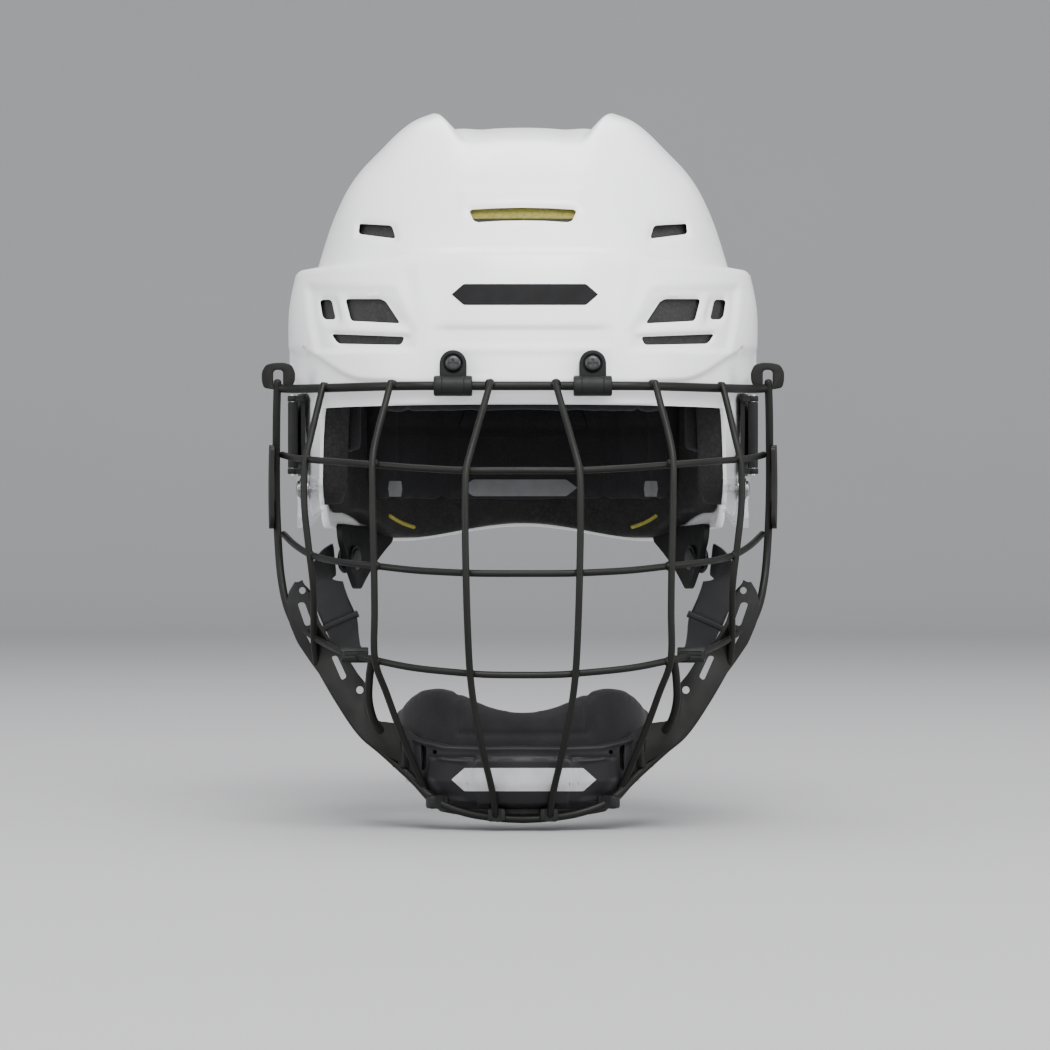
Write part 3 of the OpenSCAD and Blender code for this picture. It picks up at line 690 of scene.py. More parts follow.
def foam_black(name="foam_black_beads", base=(0.0185, 0.0181, 0.0180), bead=1 / 0.0024):
    m = Mat(name)
    m.set(rough=0.78, spec=0.22)
    edge = m.voronoi(bead, "DISTANCE_TO_EDGE")
    c = m.mix(m.remap(m.voronoi(bead, out="Color"), 0, 1), base, tuple(x * 1.5 for x in base))
    c = m.mix(m.remap(edge, 0.0, 0.10), tuple(x * 0.72 for x in base), c)
    c = m.mix(m.math("MULTIPLY", m.remap(m.noise(22.0, 3), 0.4, 0.7), 0.5), c, tuple(x * 1.7 for x in base))
    m.link(c, "Base Color")
    m.link(m.remap(m.noise(130.0, 3), 0.3, 0.7, 0.66, 0.86), "Roughness")
    m.bump(m.remap(edge, 0.0, 0.20), 0.12, 0.6)
    m.bump(m.noise(900.0, 3), 0.05, 0.5)
    return m.m


def pad_knit():
    m = Mat("pad_knit_black")
    m.set(rough=0.88, spec=0.18, sheen=0.10, sheen_rough=0.5, sheen_tint=(0.5, 0.5, 0.53))
    co = m.scaled(1, 1, 1, (0.5, 0.3, 0.78))
    loops = m.voronoi(1 / 0.0007, co=co)
    rib = m.wave(1 / 0.0014 / 2, co, "X")
    w = m.math("MULTIPLY", m.remap(loops, 0.0, 0.6, 1.0, 0.2), m.remap(rib, 0, 1, 0.6, 1.0))
    c = m.mix(m.remap(w, 0.1, 0.9), (0.0165, 0.0165, 0.0176), (0.0315, 0.0312, 0.0335))
    c = m.mix(m.math("MULTIPLY", m.remap(m.noise(40.0, 4), 0.35, 0.7), 0.4), c, (0.0175, 0.0172, 0.0195))
    m.link(c, "Base Color")
    m.bump(w, 0.09, 0.6)
    m.bump(m.noise(160.0, 4, 0.6), 0.25, 0.35)
    return m.m


def liner_yellow(name="liner_yellow_foam", k=1.0):
    m = Mat(name)
    m.set(rough=0.6, spec=0.3)
    edge = m.voronoi(1 / 0.003, "DISTANCE_TO_EDGE")
    c = m.mix(m.remap(m.noise(45.0, 4), 0.3, 0.7), (0.30 * k, 0.28 * k, 0.045 * k), (0.40 * k, 0.365 * k, 0.07 * k))
    c = m.mix(m.remap(edge, 0.0, 0.05), (0.22 * k, 0.20 * k, 0.035 * k), c)
    m.link(c, "Base Color")
    m.bump(m.remap(edge, 0.0, 0.15), 0.15, 0.7)
    return m.m


def wire_coat():
    m = Mat("cage_powder_coat")
    m.set(rough=0.42, spec=0.17, coat=0.02, coat_rough=0.3)
    c = m.mix(m.remap(m.noise(40.0, 4), 0.3, 0.7), (0.0050, 0.0052, 0.0043), (0.0084, 0.0087, 0.0072))
    chip = m.math("MULTIPLY", m.remap(m.noise(330.0, 5, 0.7), 0.66, 0.70), m.remap(m.noise(28.0, 2), 0.56, 0.66))
    c = m.mix(m.math("MULTIPLY", chip, 0.35), c, (0.12, 0.12, 0.12))
    m.link(c, "Base Color")
    m.link(m.remap(m.noise(90.0, 4), 0.3, 0.7, 0.38, 0.54), "Roughness")
    m.link(m.math("MULTIPLY", chip, 0.5), "Metallic")
    m.bump(m.noise(1500.0, 2, 0.5), 0.035, 0.55)
    m.bump(m.noise(240.0, 2, 0.5), 0.05, 0.4)
    return m.m


def moulded_black(name="moulded_black", base=(0.0060, 0.0062, 0.0060), rough=0.48, tex=0.03):
    m = Mat(name)
    m.set(rough=rough, spec=0.17)
    c = m.mix(m.remap(m.noise(55.0, 4), 0.3, 0.7), base, tuple(x * 1.55 for x in base))
    # painted highlight: convex edges (pointiness) are lightened in the base colour
    edge = m.pointiness(0.53, 0.60)
    c = m.mix(m.math("MULTIPLY", edge, 0.35), c, tuple(x * 2.6 + 0.006 for x in base))
    m.link(c, "Base Color")
    m.link(m.remap(m.noise(120.0, 5, 0.6), 0.3, 0.7, rough - 0.08, rough + 0.12), "Roughness")
    m.bump(m.voronoi(2600.0), tex, 0.6)
    m.bump(m.noise(300.0, 3), 0.03, 0.4)
    return m.m


def bright_steel(name="bright_steel", tone=0.62, rough=0.22):
    m = Mat(name)
    m.set(metal=1.0, rough=rough)
    c = m.mix(m.remap(m.noise(90.0, 4), 0.3, 0.7), (tone * 0.9, tone * 0.91, tone * 0.92), (tone, tone, tone * 1.02))
    m.link(c, "Base Color")
    br = m.noise(1.0, 4, 0.6, co=m.scaled(200, 3000, 3000))
    m.link(m.remap(br, 0.3, 0.7, rough - 0.06, rough + 0.14), "Roughness")
    m.bump(br, 0.01, 0.4)
    return m.m


def brass():
    m = Mat("insert_brass_turned")
    m.set(metal=1.0, rough=0.3)
    c = m.mix(m.remap(m.noise(80.0, 4), 0.3, 0.7), (0.50, 0.37, 0.16), (0.60, 0.47, 0.24))
    m.link(c, "Base Color")
    m.bump(m.wave(1 / 0.0008 / 2, m.co, "X"), 0.03, 0.6)
    return m.m


def clear_guard():
    m = Mat("clear_polycarbonate")
    m.set(rough=0.12, ior=1.45, spec=0.5, color=(0.74, 0.76, 0.78), alpha=0.34)
    m.link(m.remap(m.noise(60.0, 5, 0.6), 0.35, 0.75, 0.08, 0.2), "Roughness")
    c = m.mix(m.remap(m.noise(30.0, 3), 0.3, 0.7), (0.70, 0.72, 0.74), (0.78, 0.80, 0.82))
    m.link(c, "Base Color")
    m.bump(m.noise(900.0, 3, 0.6, co=m.scaled(1, 0.2, 1)), 0.01, 0.3)
    return m.m


def cup_plastic():
    m = Mat("chin_cup_moulded")
    m.set(rough=0.5, spec=0.26)
    c = m.mix(m.remap(m.noise(40.0, 4), 0.3, 0.7), (0.0080, 0.0074, 0.0084), (0.0125, 0.0116, 0.0134))
    # painted highlight: convex edges (pointiness) are lightened in the base colour, as along the top lip
    edge = m.pointiness(0.52, 0.60)
    c = m.mix(m.math("MULTIPLY", edge, 0.4), c, (0.042, 0.040, 0.044))
    m.link(c, "Base Color")
    m.link(m.remap(m.noise(110.0, 5, 0.6), 0.3, 0.7, 0.40, 0.60), "Roughness")
    m.bump(m.voronoi(1500.0), 0.05, 0.5)
    m.bump(m.noise(2600.0, 3), 0.02, 0.5)
    return m.m


def cup_foam():
    m = Mat("chin_foam_closed_cell")
    m.set(rough=0.8, spec=0.18, sheen=0.08, sheen_rough=0.5)
    c = m.mix(m.remap(m.noise(70.0, 5, 0.6), 0.3, 0.7), (0.0062, 0.0058, 0.0066), (0.0112, 0.0104, 0.0120))
    m.link(c, "Base Color")
    m.bump(m.voronoi(1800.0), 0.10, 0.6)
    m.bump(m.noise(120.0, 4, 0.6), 0.25, 0.4)
    return m.m


def webbing():
    """Flat woven webbing on UVs that are metres across and along."""
    m = Mat("webbing_black_woven")
    m.set(rough=0.68, spec=0.16, sheen=0.04, sheen_rough=0.4, sheen_tint=(0.6, 0.6, 0.62))
    uv = m.scaled(1, 1, 1, co=m.uv)
    rot = m.scaled(1, 1, 1, (0, 0, 0.62), co=m.uv)
    a = m.wave(1 / 0.0016 / 2 * 1.0, rot, "X")
    b = m.wave(1 / 0.00125 / 2 * 1.0, uv, "Y")
    w = m.math("MULTIPLY", a, m.remap(b, 0, 1, 0.4, 1.0))
    c = m.mix(m.remap(w, 0.05, 0.8), (0.0040, 0.0040, 0.0044), (0.0130, 0.0130, 0.0138))
    m.link(c, "Base Color")
    m.bump(w, 0.18, 0.8)
    return m.m


def decal(name, color, rough=0.35, spec=0.5):
    m = Mat(name)
    m.set(rough=rough, spec=spec)
    c = m.mix(m.remap(m.noise(150.0, 4), 0.3, 0.7), tuple(x * 0.9 for x in color), tuple(min(1, x * 1.1 + 0.002) for x in color))
    m.link(c, "Base Color")
    m.bump(m.noise(700.0, 3), 0.015, 0.4)
    return m.m


M = {
    # painted shade: the vent foam entry is the yellow liner foam at half brightness, darkened for the foam seen inside
    # the crown vent
    "shell": shell_white(), "foam": foam_black(), "pad": pad_knit(), "yellow": liner_yellow(), "yellow_foam_shaded": liner_yellow("vent_foam_painted_shade", 0.50), "wire": wire_coat(), "black": moulded_black(),
    "clip": moulded_black("clip_satin_black", (0.0064, 0.0067, 0.0065), 0.48, 0.02), "steel": bright_steel(), "dark_steel": bright_steel("black_oxide_steel", 0.055, 0.40),
    # painted shadow: the dark brown vent entry stands for the shade in the lower part of the crown vent
    "steel_dim": bright_steel("dull_steel", 0.34, 0.30), "vent_shadow_dark": moulded_black("vent_painted_shadow_brown", (0.030, 0.022, 0.010), 0.6, 0.02), "brass": brass(), "clear": clear_guard(), "cup": cup_plastic(), "cupfoam": cup_foam(), "web": webbing(),
    "mark_black": decal("mark_black_print", (0.0060, 0.0060, 0.0064), 0.7, 0.16), "mark_grey": decal("mark_grey_print", (0.17, 0.17, 0.18), 0.6), "mark_pale": decal("mark_pale_print", (0.38, 0.38, 0.40), 0.5),
}


def give(ob, mat):
    ob.data.materials.clear()
    ob.data.materials.append(M[mat] if isinstance(mat, str) else mat)
    return ob


def finish_piece(ob, mat, body, replaces=()):
    give(ob, mat)
    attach(ob, body)
    if replaces:
        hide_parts(*replaces)
    return ob


# ---------------------------------------------------------------- front shell
def no_deco(th, x, y, z):
    return np.zeros(np.shape(x))


def full_deco(th, x, y, z):
    d = band(th, x, y, z) + ridge(x, y, z)
    p = np.stack([x, y + YC, z], -1)
    n = grad(x, y, z)
    q = p + n * d[..., None]
    return d + front_detail(q[..., 0], q[..., 1], q[..., 2])


def mid_deco(th, x, y, z):
    return band(th, x, y, z) + ridge(x, y, z)


def half_space(name, rear, y0, y1):
    """A big block behind (or in front of) a leaning plane, y0 at the bottom and y1 at the top."""
    if rear:
        v = [(-200, y0, -90), (200, y0, -90), (200, 300, -90), (-200, 300, -90), (-200, y1, 160), (200, y1, 160), (200, 300, 160), (-200, 300, 160)]
    else:
        v = [(-200, -300, -90), (200, -300, -90), (200, y0, -90), (-200, y0, -90), (-200, -300, 160), (200, -300, 160), (200, y1, 160), (-200, y1, 160)]
    f = [[0, 3, 2, 1], [4, 5, 6, 7], [0, 1, 5, 4], [1, 2, 6, 5], [2, 3, 7, 6], [3, 0, 4, 7]]
    return put(name, v, f, False)


def rod(name, a, b, r, seg=32):
    a, b = arr(*a), arr(*b)
    v, f = lathe_data([(r, 0), (r, float(np.linalg.norm(b - a)))], seg, b - a, a)
    return put(name, v, f, False)


NTH = 400
front = cap_mesh("front_shell_skin", rim_front, 0.0, -3.0, full_deco, mid_deco, nth=NTH, ns=44, nd=110, r=1.3)
boolean(front, half_space("c", True, 14.3, 43.1))
for i, v in enumerate(ALL_VENTS):
    boolean(front, prism_y("c", v, -165, -25, 1.7 if v is not CROWN_VENT else 0.8, 6))
for s in (1, -1):
    boolean(front, rod("c", (s * 30, -150, 14), (s * 30, -80, 14), 2.3))
    boolean(front, rod("c", (s * 60, -55, 22), (s * 120, -55, 22), 2.7))
shade(front, True, 38)
finish_piece(front, "shell", "helmet", ["front_shell"])

# ---------------------------------------------------------------- rear shell
def rear_deco(th, x, y, z):
    d = band(th, x, y, z) + ridge(x, y, z)
    # a spine panel and a nape scoop
    back = sm(20, 60, y)
    spine = (1 - sm(26, 34, np.abs(x))) * sm(-10, 2, z) * (1 - sm(84, 100, z))
    d = d + 1.8 * spine * back
    d = d - 1.2 * np.exp(-((z + 34) / 7.0) ** 2) * back
    d = d + 1.0 * sm(-48, -52, z) * back
    for zc in (20, 44):
        for s in (1, -1):
            q = poly_sdf([(s * 12, zc - 3.6), (s * 38, zc + 0.4), (s * 38, zc + 5.4), (s * 12, zc + 2.4)][::int(s)], x, z)
            d = d - 0.9 * (1 - sm(0, 4.5, q)) * back
    return d


rear = cap_mesh("rear_shell_skin", rim_rear, -4.0, -7.0, rear_deco, mid_deco, nth=NTH, ns=40, nd=90, r=1.3)
boolean(rear, half_space("c", False, 1.7, 8.3))
for s in (1, -1):
    for z in (20, 44):
        poly = [(s * 14, z - 2), (s * 36, z + 1.4), (s * 36, z + 4.6), (s * 14, z + 1.6)]
        v, f = extrude_data(round_poly(poly, 1.4), 60, 200, lambda x, y, h: arr(x, h, y))
        boolean(rear, put("c", v, f, False))
    for y in (48, 78):
        poly = [(s * 15.8, y - 2), (s * 20.4, y - 2), (s * 20.4, y + 18), (s * 15.8, y + 18)]
        v, f = extrude_data(round_poly(poly, 2.2, 6), 62, 170, lambda x, y, h: arr(x, y, h))
        boolean(rear, put("c", v, f, False))
shade(rear, True, 38)
finish_piece(rear, "shell", "rear", ["rear_shell"])

# ---------------------------------------------------------------- liners
def liner_grooves(x, y, z, th):
    """Moulded channels on the head side of the foam."""
    a = np.degrees(th)
    g = np.zeros(np.shape(x))
    for c in (-128, -88, -30, 0, 30, 88, 128):
        g = np.maximum(g, 1 - sm(1.2, 3.4, np.abs(a - c) * 1.7 * np.cos(np.clip(z / 126, 0, 1) * 1.2)))
    g = np.maximum(g, 1 - sm(1.6, 4.0, np.abs(z - 44)))
    return g


def liner_in_deco(th, x, y, z):
    return 2.2 * liner_grooves(x, y, z, th)


fl = cap_mesh("front_liner_foam", lambda a: rim_front(a) + 4.5, -3.6, -15.0, mid_deco, liner_in_deco, nth=260, ns=20, nd=48, r=2.0)
v, f = box_data((0, 88, 0), (400, 200, 400))
boolean(fl, put("c", v, f, False))
for s in (1, -1):
    boolean(fl, rod("c", (s * 60, -55, 22), (s * 120, -55, 22), 8))
shade(fl, True, 40)
finish_piece(fl, "foam", "helmet", ["front_liner"])

rl = cap_mesh("rear_liner_foam", lambda a: rim_rear(a) + 1.0 + 6.0 * sm(100, 110, a) * (1 - sm(126, 146, a)), -7.4, -18.0, mid_deco, liner_in_deco, nth=260, ns=20, nd=48, r=2.0)
v, f = box_data((0, -98, 0), (400, 200, 400))
boolean(rl, put("c", v, f, False))


# anchor tab frame, on the true normal behind the ear
def tab_pt(x, y, h, s=1.0):
    a = math.radians(110 - 180)
    c, sn = math.cos(a), math.sin(a)
    lx, ly = -26 + x, h
    X, Y = lx * c - ly * sn, lx * sn + ly * c
    return arr(s * X, Y + YC, -y)


TAB = [(-34, 58), (10, 56), (10, 60), (-2, 81), (-4, 81), (-34, 60)]


def grow(poly, g):
    """Offsets a convex polygon outwards and rounds it."""
    c = np.mean(np.array(poly, float), 0)
    n = len(poly)
    p = np.array(poly, float)
    out = []
    area = sum(p[i][0] * p[(i + 1) % n][1] - p[(i + 1) % n][0] * p[i][1] for i in range(n))
    sg = 1 if area > 0 else -1
    for i in range(n):
        a, b, d = p[i - 1], p[i], p[(i + 1) % n]
        e1, e2 = unit(b - a), unit(d - b)
        n1, n2 = sg * arr(e1[1], -e1[0]), sg * arr(e2[1], -e2[0])
        m = unit(n1 + n2)
        out.append(tuple(b + m * g / max(0.3, m @ n1)))
    return out


for name, s in LR:
    v, f = extrude_data(round_poly(grow(TAB, 3.6), 3.5), 60, 140, lambda x, y, h, s=s: tab_pt(x, y, h, s))
    cut = put("c", v, f, False)
    skin = patch_mesh("k", 100 if s > 0 else -154, 154 if s > 0 else -100, -100, -30, -6.2, -10.2, na=54, nz=20)
    boolean(cut, skin, "INTERSECT")
    boolean(rl, cut)
shade(rl, True, 40)
finish_piece(rl, "foam", "rear", ["rear_liner"])

# ---------------------------------------------------------------- soft pads, inflated by cloth simulation
def inflate(ob, voxel=4.0, pressure=4.0, frames_n=16, cap=2.2):
    m = ob.modifiers.new("r", "REMESH")
    m.mode = "VOXEL"
    m.voxel_size = voxel * 0.001
    m.use_smooth_shade = True
    bake(ob)
    rest = np.array([v.co[:] for v in ob.data.vertices])
    c = ob.modifiers.new("cloth", "CLOTH")
    st = c.settings
    st.quality = 4
    st.mass = 0.25
    st.tension_stiffness = st.compression_stiffness = 15
    st.shear_stiffness = 8
    st.bending_stiffness = 0.5
    st.use_pressure = True
    st.uniform_pressure_force = pressure
    st.effector_weights.gravity = 0.0
    c.point_cache.frame_start = 1
    c.point_cache.frame_end = frames_n
    sc = bpy.context.scene
    for k in range(1, frames_n + 1):
        sc.frame_set(k)
    bake(ob)
    co = np.array([v.co[:] for v in ob.data.vertices])
    d = co - rest
    l = np.linalg.norm(d, axis=1, keepdims=True)
    d *= np.minimum(1.0, cap * 0.001 / np.maximum(l, 1e-9))
    ob.data.vertices.foreach_set("co", (rest + d).ravel())
    ob.data.update()
    sc.frame_set(1)
    subsurf(ob, 1)
    shade(ob, True)
    return ob


def press(ob, depth_of):
    """Moves each vertex inwards along its normal by depth_of(points in mm), in mm."""
    me = ob.data
    co = np.array([v.co[:] for v in me.vertices]) * 1000
    n = np.array([v.normal[:] for v in me.vertices])
    d = depth_of(co)
    me.vertices.foreach_set("co", ((co - n * d[:, None]) * 0.001).ravel())
    me.update()
    return ob


def pad_patch(name, a0, a1, z0, z1, o_out, o_in, corner=9.0, na=60, nz=24):
    """A pad with rounded corners in its plan, laid along the shell."""
    def lim(a):
        # distance of this column from the nearer end, as an arc length
        e = min(a - a0, a1 - a) * 1.9
        return max(0.0, corner - math.sqrt(max(0.0, corner ** 2 - max(0.0, corner - e) ** 2))) if e < corner else 0.0
    lo = lambda a: z0 + lim(a)
    hi = lambda a: z1 - lim(a)
    return patch_mesh(name, a0, a1, lo, hi, o_out, o_in, na=na, nz=nz)


def round_angle(co):
    return np.degrees(np.arctan2(co[:, 0], -(co[:, 1] - YC)))


def groove(d, w, h):
    return h * np.exp(-(d / w) ** 2)


bp = inflate(pad_patch("brow_pad_knit", -41, 41, -6.2, 35, -15.2, -22.4))
press(bp, lambda c: groove(np.abs(round_angle(c)) - 13.5, 0.9, 1.3) * (c[:, 2] > -3) + groove(np.abs(round_angle(c)) - 28.5, 0.9, 1.3) + groove(c[:, 2] - 27, 1.3, 1.0))
finish_piece(bp, "pad", "helmet", ["brow_pad"])

for name, s in LR:
    tp = inflate(pad_patch("k", 58.8, 72.2, -23, 33, -15.2, -23.4, corner=6), cap=1.8)
    press(tp, lambda c: groove(c[:, 2] - 8, 1.4, 1.3) + groove(c[:, 2] - 24, 1.4, 1.0))
    if s < 0:
        o = mirror_obj(tp, "temple_pad_knit_right")
        drop(tp)
        tp = o
    tp.name = "temple_pad_knit_" + name
    finish_piece(tp, "pad", "helmet", ["temple_pad_" + name])

op = inflate(pad_patch("occipital_pad_knit", 125, 235, -45, 33, -18.2, -25.4, corner=14, na=90, nz=34), voxel=4.5)
press(op, lambda c: groove(np.abs(round_angle(c)) - 158, 1.0, 1.4) + groove(np.abs(round_angle(c)) - 140, 1.0, 1.2) + groove(c[:, 2] + 8, 1.6, 1.2))
finish_piece(op, "pad", "rear", ["occipital_pad"])

cp = cap_mesh("crown_pad_knit", lambda a: -8.0 + 0 * a, -18.0, -24.4, no_deco, no_deco, nth=120, ns=8, nd=40, r=1.0)
v, f = extrude_data(round_poly([(-41, 5), (41, 5), (41, 69), (-41, 69)], 12, 8), 60, 140, lambda x, y, h: arr(x, y, h))
boolean(cp, put("c", v, f, False), "INTERSECT")
for y in (18, 37, 56):
    v, f = extrude_data(round_poly([(-31, y - 5), (31, y - 5), (31, y + 5), (-31, y + 5)], 6, 8), 60, 140, lambda x, y, h: arr(x, y, h))
    boolean(cp, put("c", v, f, False))
inflate(cp, voxel=3.0, cap=1.2)
finish_piece(cp, "pad", "rear", ["crown_pad"])

# ---------------------------------------------------------------- trims and inserts of the helmet
# painted shade: the insert in the crown vent uses the half-bright copy of the yellow liner foam
vt = patch_mesh("vent_insert_foam_painted_shade", -14, 14, 78.7, 86, -3.2, -5.0, na=60, nz=14, deco=mid_deco, shape=lambda u, v: 0 * u)
finish_piece(vt, "yellow_foam_shaded", "helmet", ["vent_insert"])
# painted shadow: a dark brown sheet under the insert fills the shade in the lower part of the crown vent
vb = patch_mesh("vent_painted_shadow_sheet", -14, 14, 70.2, 78.8, -4.0, -5.4, na=60, nz=12, deco=lambda th, x, y, z: mid_deco(th, x, y, z) - 0.25 * (np.sin(np.degrees(th) * 1.9) > 0.2))
finish_piece(vb, "vent_shadow_dark", "helmet")

for name, s in LR:
    k = np.linspace(0, 1, 40)
    th_ = np.radians(137.2 + 10.0 * k)
    x, y, z, n = base_pt(th_, z=-51.0 - 5.6 * k - 0.5 * np.sin(k * math.pi))
    tp_ = (np.stack([x, y + YC, z], -1) + n * -18.3) * arr(s, 1, 1)
    t = tube("liner_trim_bead_" + name, tp_, 0.95, sides=12)
    finish_piece(t, "yellow", "rear", ["liner_trim"] if s > 0 else ())


def side_plate(name, a0, a1, z0, z1, o_out, o_in, outline_yz, holes=(), s=1.0, deco=None, na=90, nz=30):
    """A curved piece on the helmet's side, cut to an outline in the side view (y, z)."""
    ob = patch_mesh(name, a0, a1, z0, z1, o_out, o_in, na=na, nz=nz, deco=deco)
    v, f = extrude_data(outline_yz, 60, 140, lambda y, z, h: arr(h, y, z))
    boolean(ob, put("c", v, f, False), "INTERSECT")
    for h in holes:
        v, f = extrude_data(h, 60, 140, lambda y, z, h: arr(h, y, z))
        boolean(ob, put("c", v, f, False))
    if s < 0:
        o = mirror_obj(ob, name)
        drop(ob)
        ob = o
        ob.name = name
    shade(ob, True, 35)
    return ob


def circle_pts(cx, cy, r, n=24):
    return [(cx + r * math.cos(2 * math.pi * k / n), cy + r * math.sin(2 * math.pi * k / n)) for k in range(n)]


def slot_pts(x0, y0, x1, y1, r, n=10):
    a = math.atan2(y1 - y0, x1 - x0)
    return [(x1 + r * math.cos(a + t), y1 + r * math.sin(a + t)) for t in np.linspace(-math.pi / 2, math.pi / 2, n)] + \
           [(x0 + r * math.cos(a + t), y0 + r * math.sin(a + t)) for t in np.linspace(math.pi / 2, 1.5 * math.pi, n)]


def skin_x(y, z):
    """The bare shell's half width at a depth and height."""
    h = np.where(z >= 0, SC, SL)
    pr = (1 - (abs(z) / h) ** SQ) ** (1 / SQ)
    b = SBF if y - YC < 0 else SBR
    return float(SA * pr * (1 - (abs(y - YC) / (b * pr)) ** SP) ** (1 / SP))


def screw(name, at, axis, r_head, h_head, r_shank, l_shank, recess="cross", dome=0.6):
    """A machine screw: domed head with a recess, and a threaded-looking shank behind it. at is the seat of the head."""
    prof_pts = [(0.001, -l_shank)]
    n = int(l_shank / 0.8)
    prof_pts.append((r_shank * 0.8, -l_shank))
    for k in range(n):
        z = -l_shank + 0.3 + (l_shank - 0.6) * (k + 0.0) / n
        prof_pts += [(r_shank * 0.86, z), (r_shank, z + 0.4)]
    prof_pts += [(r_shank, 0.0), (r_head * 0.97, 0.0), (r_head, h_head * 0.12)]
    for k in range(1, 9):
        t = k / 8 * math.pi / 2
        prof_pts.append((r_head * (1 - dome) + r_head * dome * math.cos(t), h_head * 0.35 + h_head * 0.65 * math.sin(t)))
    prof_pts.append((0.001, h_head))
    v, f = lathe_data(prof_pts, 40, axis, at)
    ob = put(name, v, f)
    a = unit(arr(*axis))
    u = unit(np.cross(a, arr(0, 0, 1) if abs(a[2]) < 0.9 else arr(1, 0, 0)))
    w = np.cross(a, u)
    R = np.stack([u, w, a], 1)
    if recess == "cross":
        for dims in ((r_head * 1.15, r_head * 0.26, h_head * 0.9), (r_head * 0.26, r_head * 1.15, h_head * 0.9)):
            v, f = box_data(arr(*at) + a * (h_head * 0.75), dims, R)
            boolean(ob, put("c", v, f, False))
    elif recess == "hex":
        v, f = lathe_data([(r_head * 0.5, h_head * 0.25), (r_head * 0.5, h_head * 1.6)], 6, axis, at)
        boolean(ob, put("c", v, f, False))
    shade(ob, True, 34)
    return ob


GUARD = round_poly([(-70, -34), (-66, -46), (-48, -55), (-8, -55.5), (12, -50), (16.5, -40), (14, -33.2), (-30, -32.9)], 6, 8)
for name, s in LR:
    holes = [circle_pts(y, -38, 2.2) for y in (-52, -34)] + [slot_pts(y, -49, y, -40.5, 1.9) for y in (-14, -6, 2)]
    g = side_plate("ear_guard_clear_" + name, 52, 96, -56, -32.8, 2.4, 0.25, GUARD, holes, s,
                   deco=lambda th, x, y, z: 0.7 * sm(-45, -55, z) - 0.3 * np.exp(-((z + 44) / 3.0) ** 2))
    finish_piece(g, "clear", "helmet", ["ear_guard_" + name])

sc_obs = []
for s in (1, -1):
    for y in (-52, -34):
        x = skin_x(y, -38) + 2.2
        n = grad(np.array([x]), np.array([y - YC]), np.array([-38.0]))[0]
        sc_obs.append(screw("k", (s * (x + 0.5), y, -38), (s, 0, 0), 3.6, 1.7, 1.9, 6.0))
        sc_obs.append(put("k", *lathe_data([(2.3, 0.2), (4.6, 0.2), (4.7, 0.45), (4.6, 0.7), (2.3, 0.7)], 40, (s, 0, 0), (s * (x - 0.15), y, -38), close=False)))
es = join("ear_guard_screw_set", sc_obs)
finish_piece(es, "steel_dim", "helmet", ["ear_guard_screws"])

# size lock: base on the shell, and its lever
for name, s in LR:
    out = round_poly([(-38.6, -32), (-39.6, 4.2), (3, 4.2), (9, -6), (8, -26), (0, -32)], 5, 6)
    lb = side_plate("k", 66, 92, -32.1, 4.4, 2.2, 0.25, out, [], 1.0,
                    deco=lambda th, x, y, z: -0.9 * sm(2.0, 4.4, z) - 0.9 * (1 - sm(-32.1, -30, z)), na=70, nz=60)
    parts = [lb]
    for z in (-31.5, 0.5):
        parts.append(put("k", *lathe_data([(1.25, 0), (2.25, 0), (2.4, 0.3), (2.4, 2.2), (2.25, 2.5), (1.25, 2.5)], 36, (0, 0, 1), (101.5, -38, z), close=False)))
        v, f = extrude_data(round_poly([(96.4, -39.6), (101.5, -40.1), (103.5, -37.6), (100.9, -34.8), (96.9, -33.8)], 0.8), z, z + 2.5, lambda x, y, h: arr(x, y, h))
        parts.append(put("k", v, f, False))
        boolean(parts[-1], rod("c", (101.5, -38, z - 1), (101.5, -38, z + 4), 1.3))
    lb = join("k", parts)
    if s < 0:
        o = mirror_obj(lb, "k2")
        drop(lb)
        lb = o
    lb.name = "lock_base_moulded_" + name
    shade(lb, True, 35)
    finish_piece(lb, "black", "helmet", ["lock_base_" + name])

    # lever: barrel, tapered plate with finger ribs and a turned-up tip
    top = round_poly([(100.9, -38.6), (103.4, -37.4), (104.0, -26), (104.3, -14.5), (104.2, -11.2), (103.0, -11.0), (102.3, -13.5), (101.9, -25), (101.5, -35.6)], 0.6, 4)
    v, f = extrude_data(top, -28.4, -0.1, lambda x, y, h: arr(x, y, -14.25 + (h + 14.25) * (1 - 0.26 * sm(-36, -12, y))))
    lv = put("k", v, f, False)
    boolean(lv, put("c", *box_data((104.6, -22.0, -14.25), (1.6, 14.0, 15.0)), False))
    bevel(lv, 0.5, 3, 40)
    parts = [lv, put("k", *lathe_data([(1.3, 0), (2.0, 0), (2.25, 0.3), (2.25, 28.8), (2.0, 29.1), (1.3, 29.1)], 36, (0, 0, 1), (101.5, -38, -28.8), close=False))]
    for k in range(5):
        y = -24.5 + k * 2.7
        x = 103.85 + (y + 26) * 0.3 / 11.5
        v, f = tube_data(np.array([[x, y, -20.2 + t * 12] for t in np.linspace(0, 1, 6)]), 0.5, sides=10)
        parts.append(put("k", v, f))
    lv = join("k", parts)
    if s < 0:
        o = mirror_obj(lv, "k2")
        drop(lv)
        lv = o
    lv.name = "lock_lever_moulded_" + name
    shade(lv, True, 35)
    finish_piece(lv, "black", "lock_" + name, ["lock_lever_" + name])

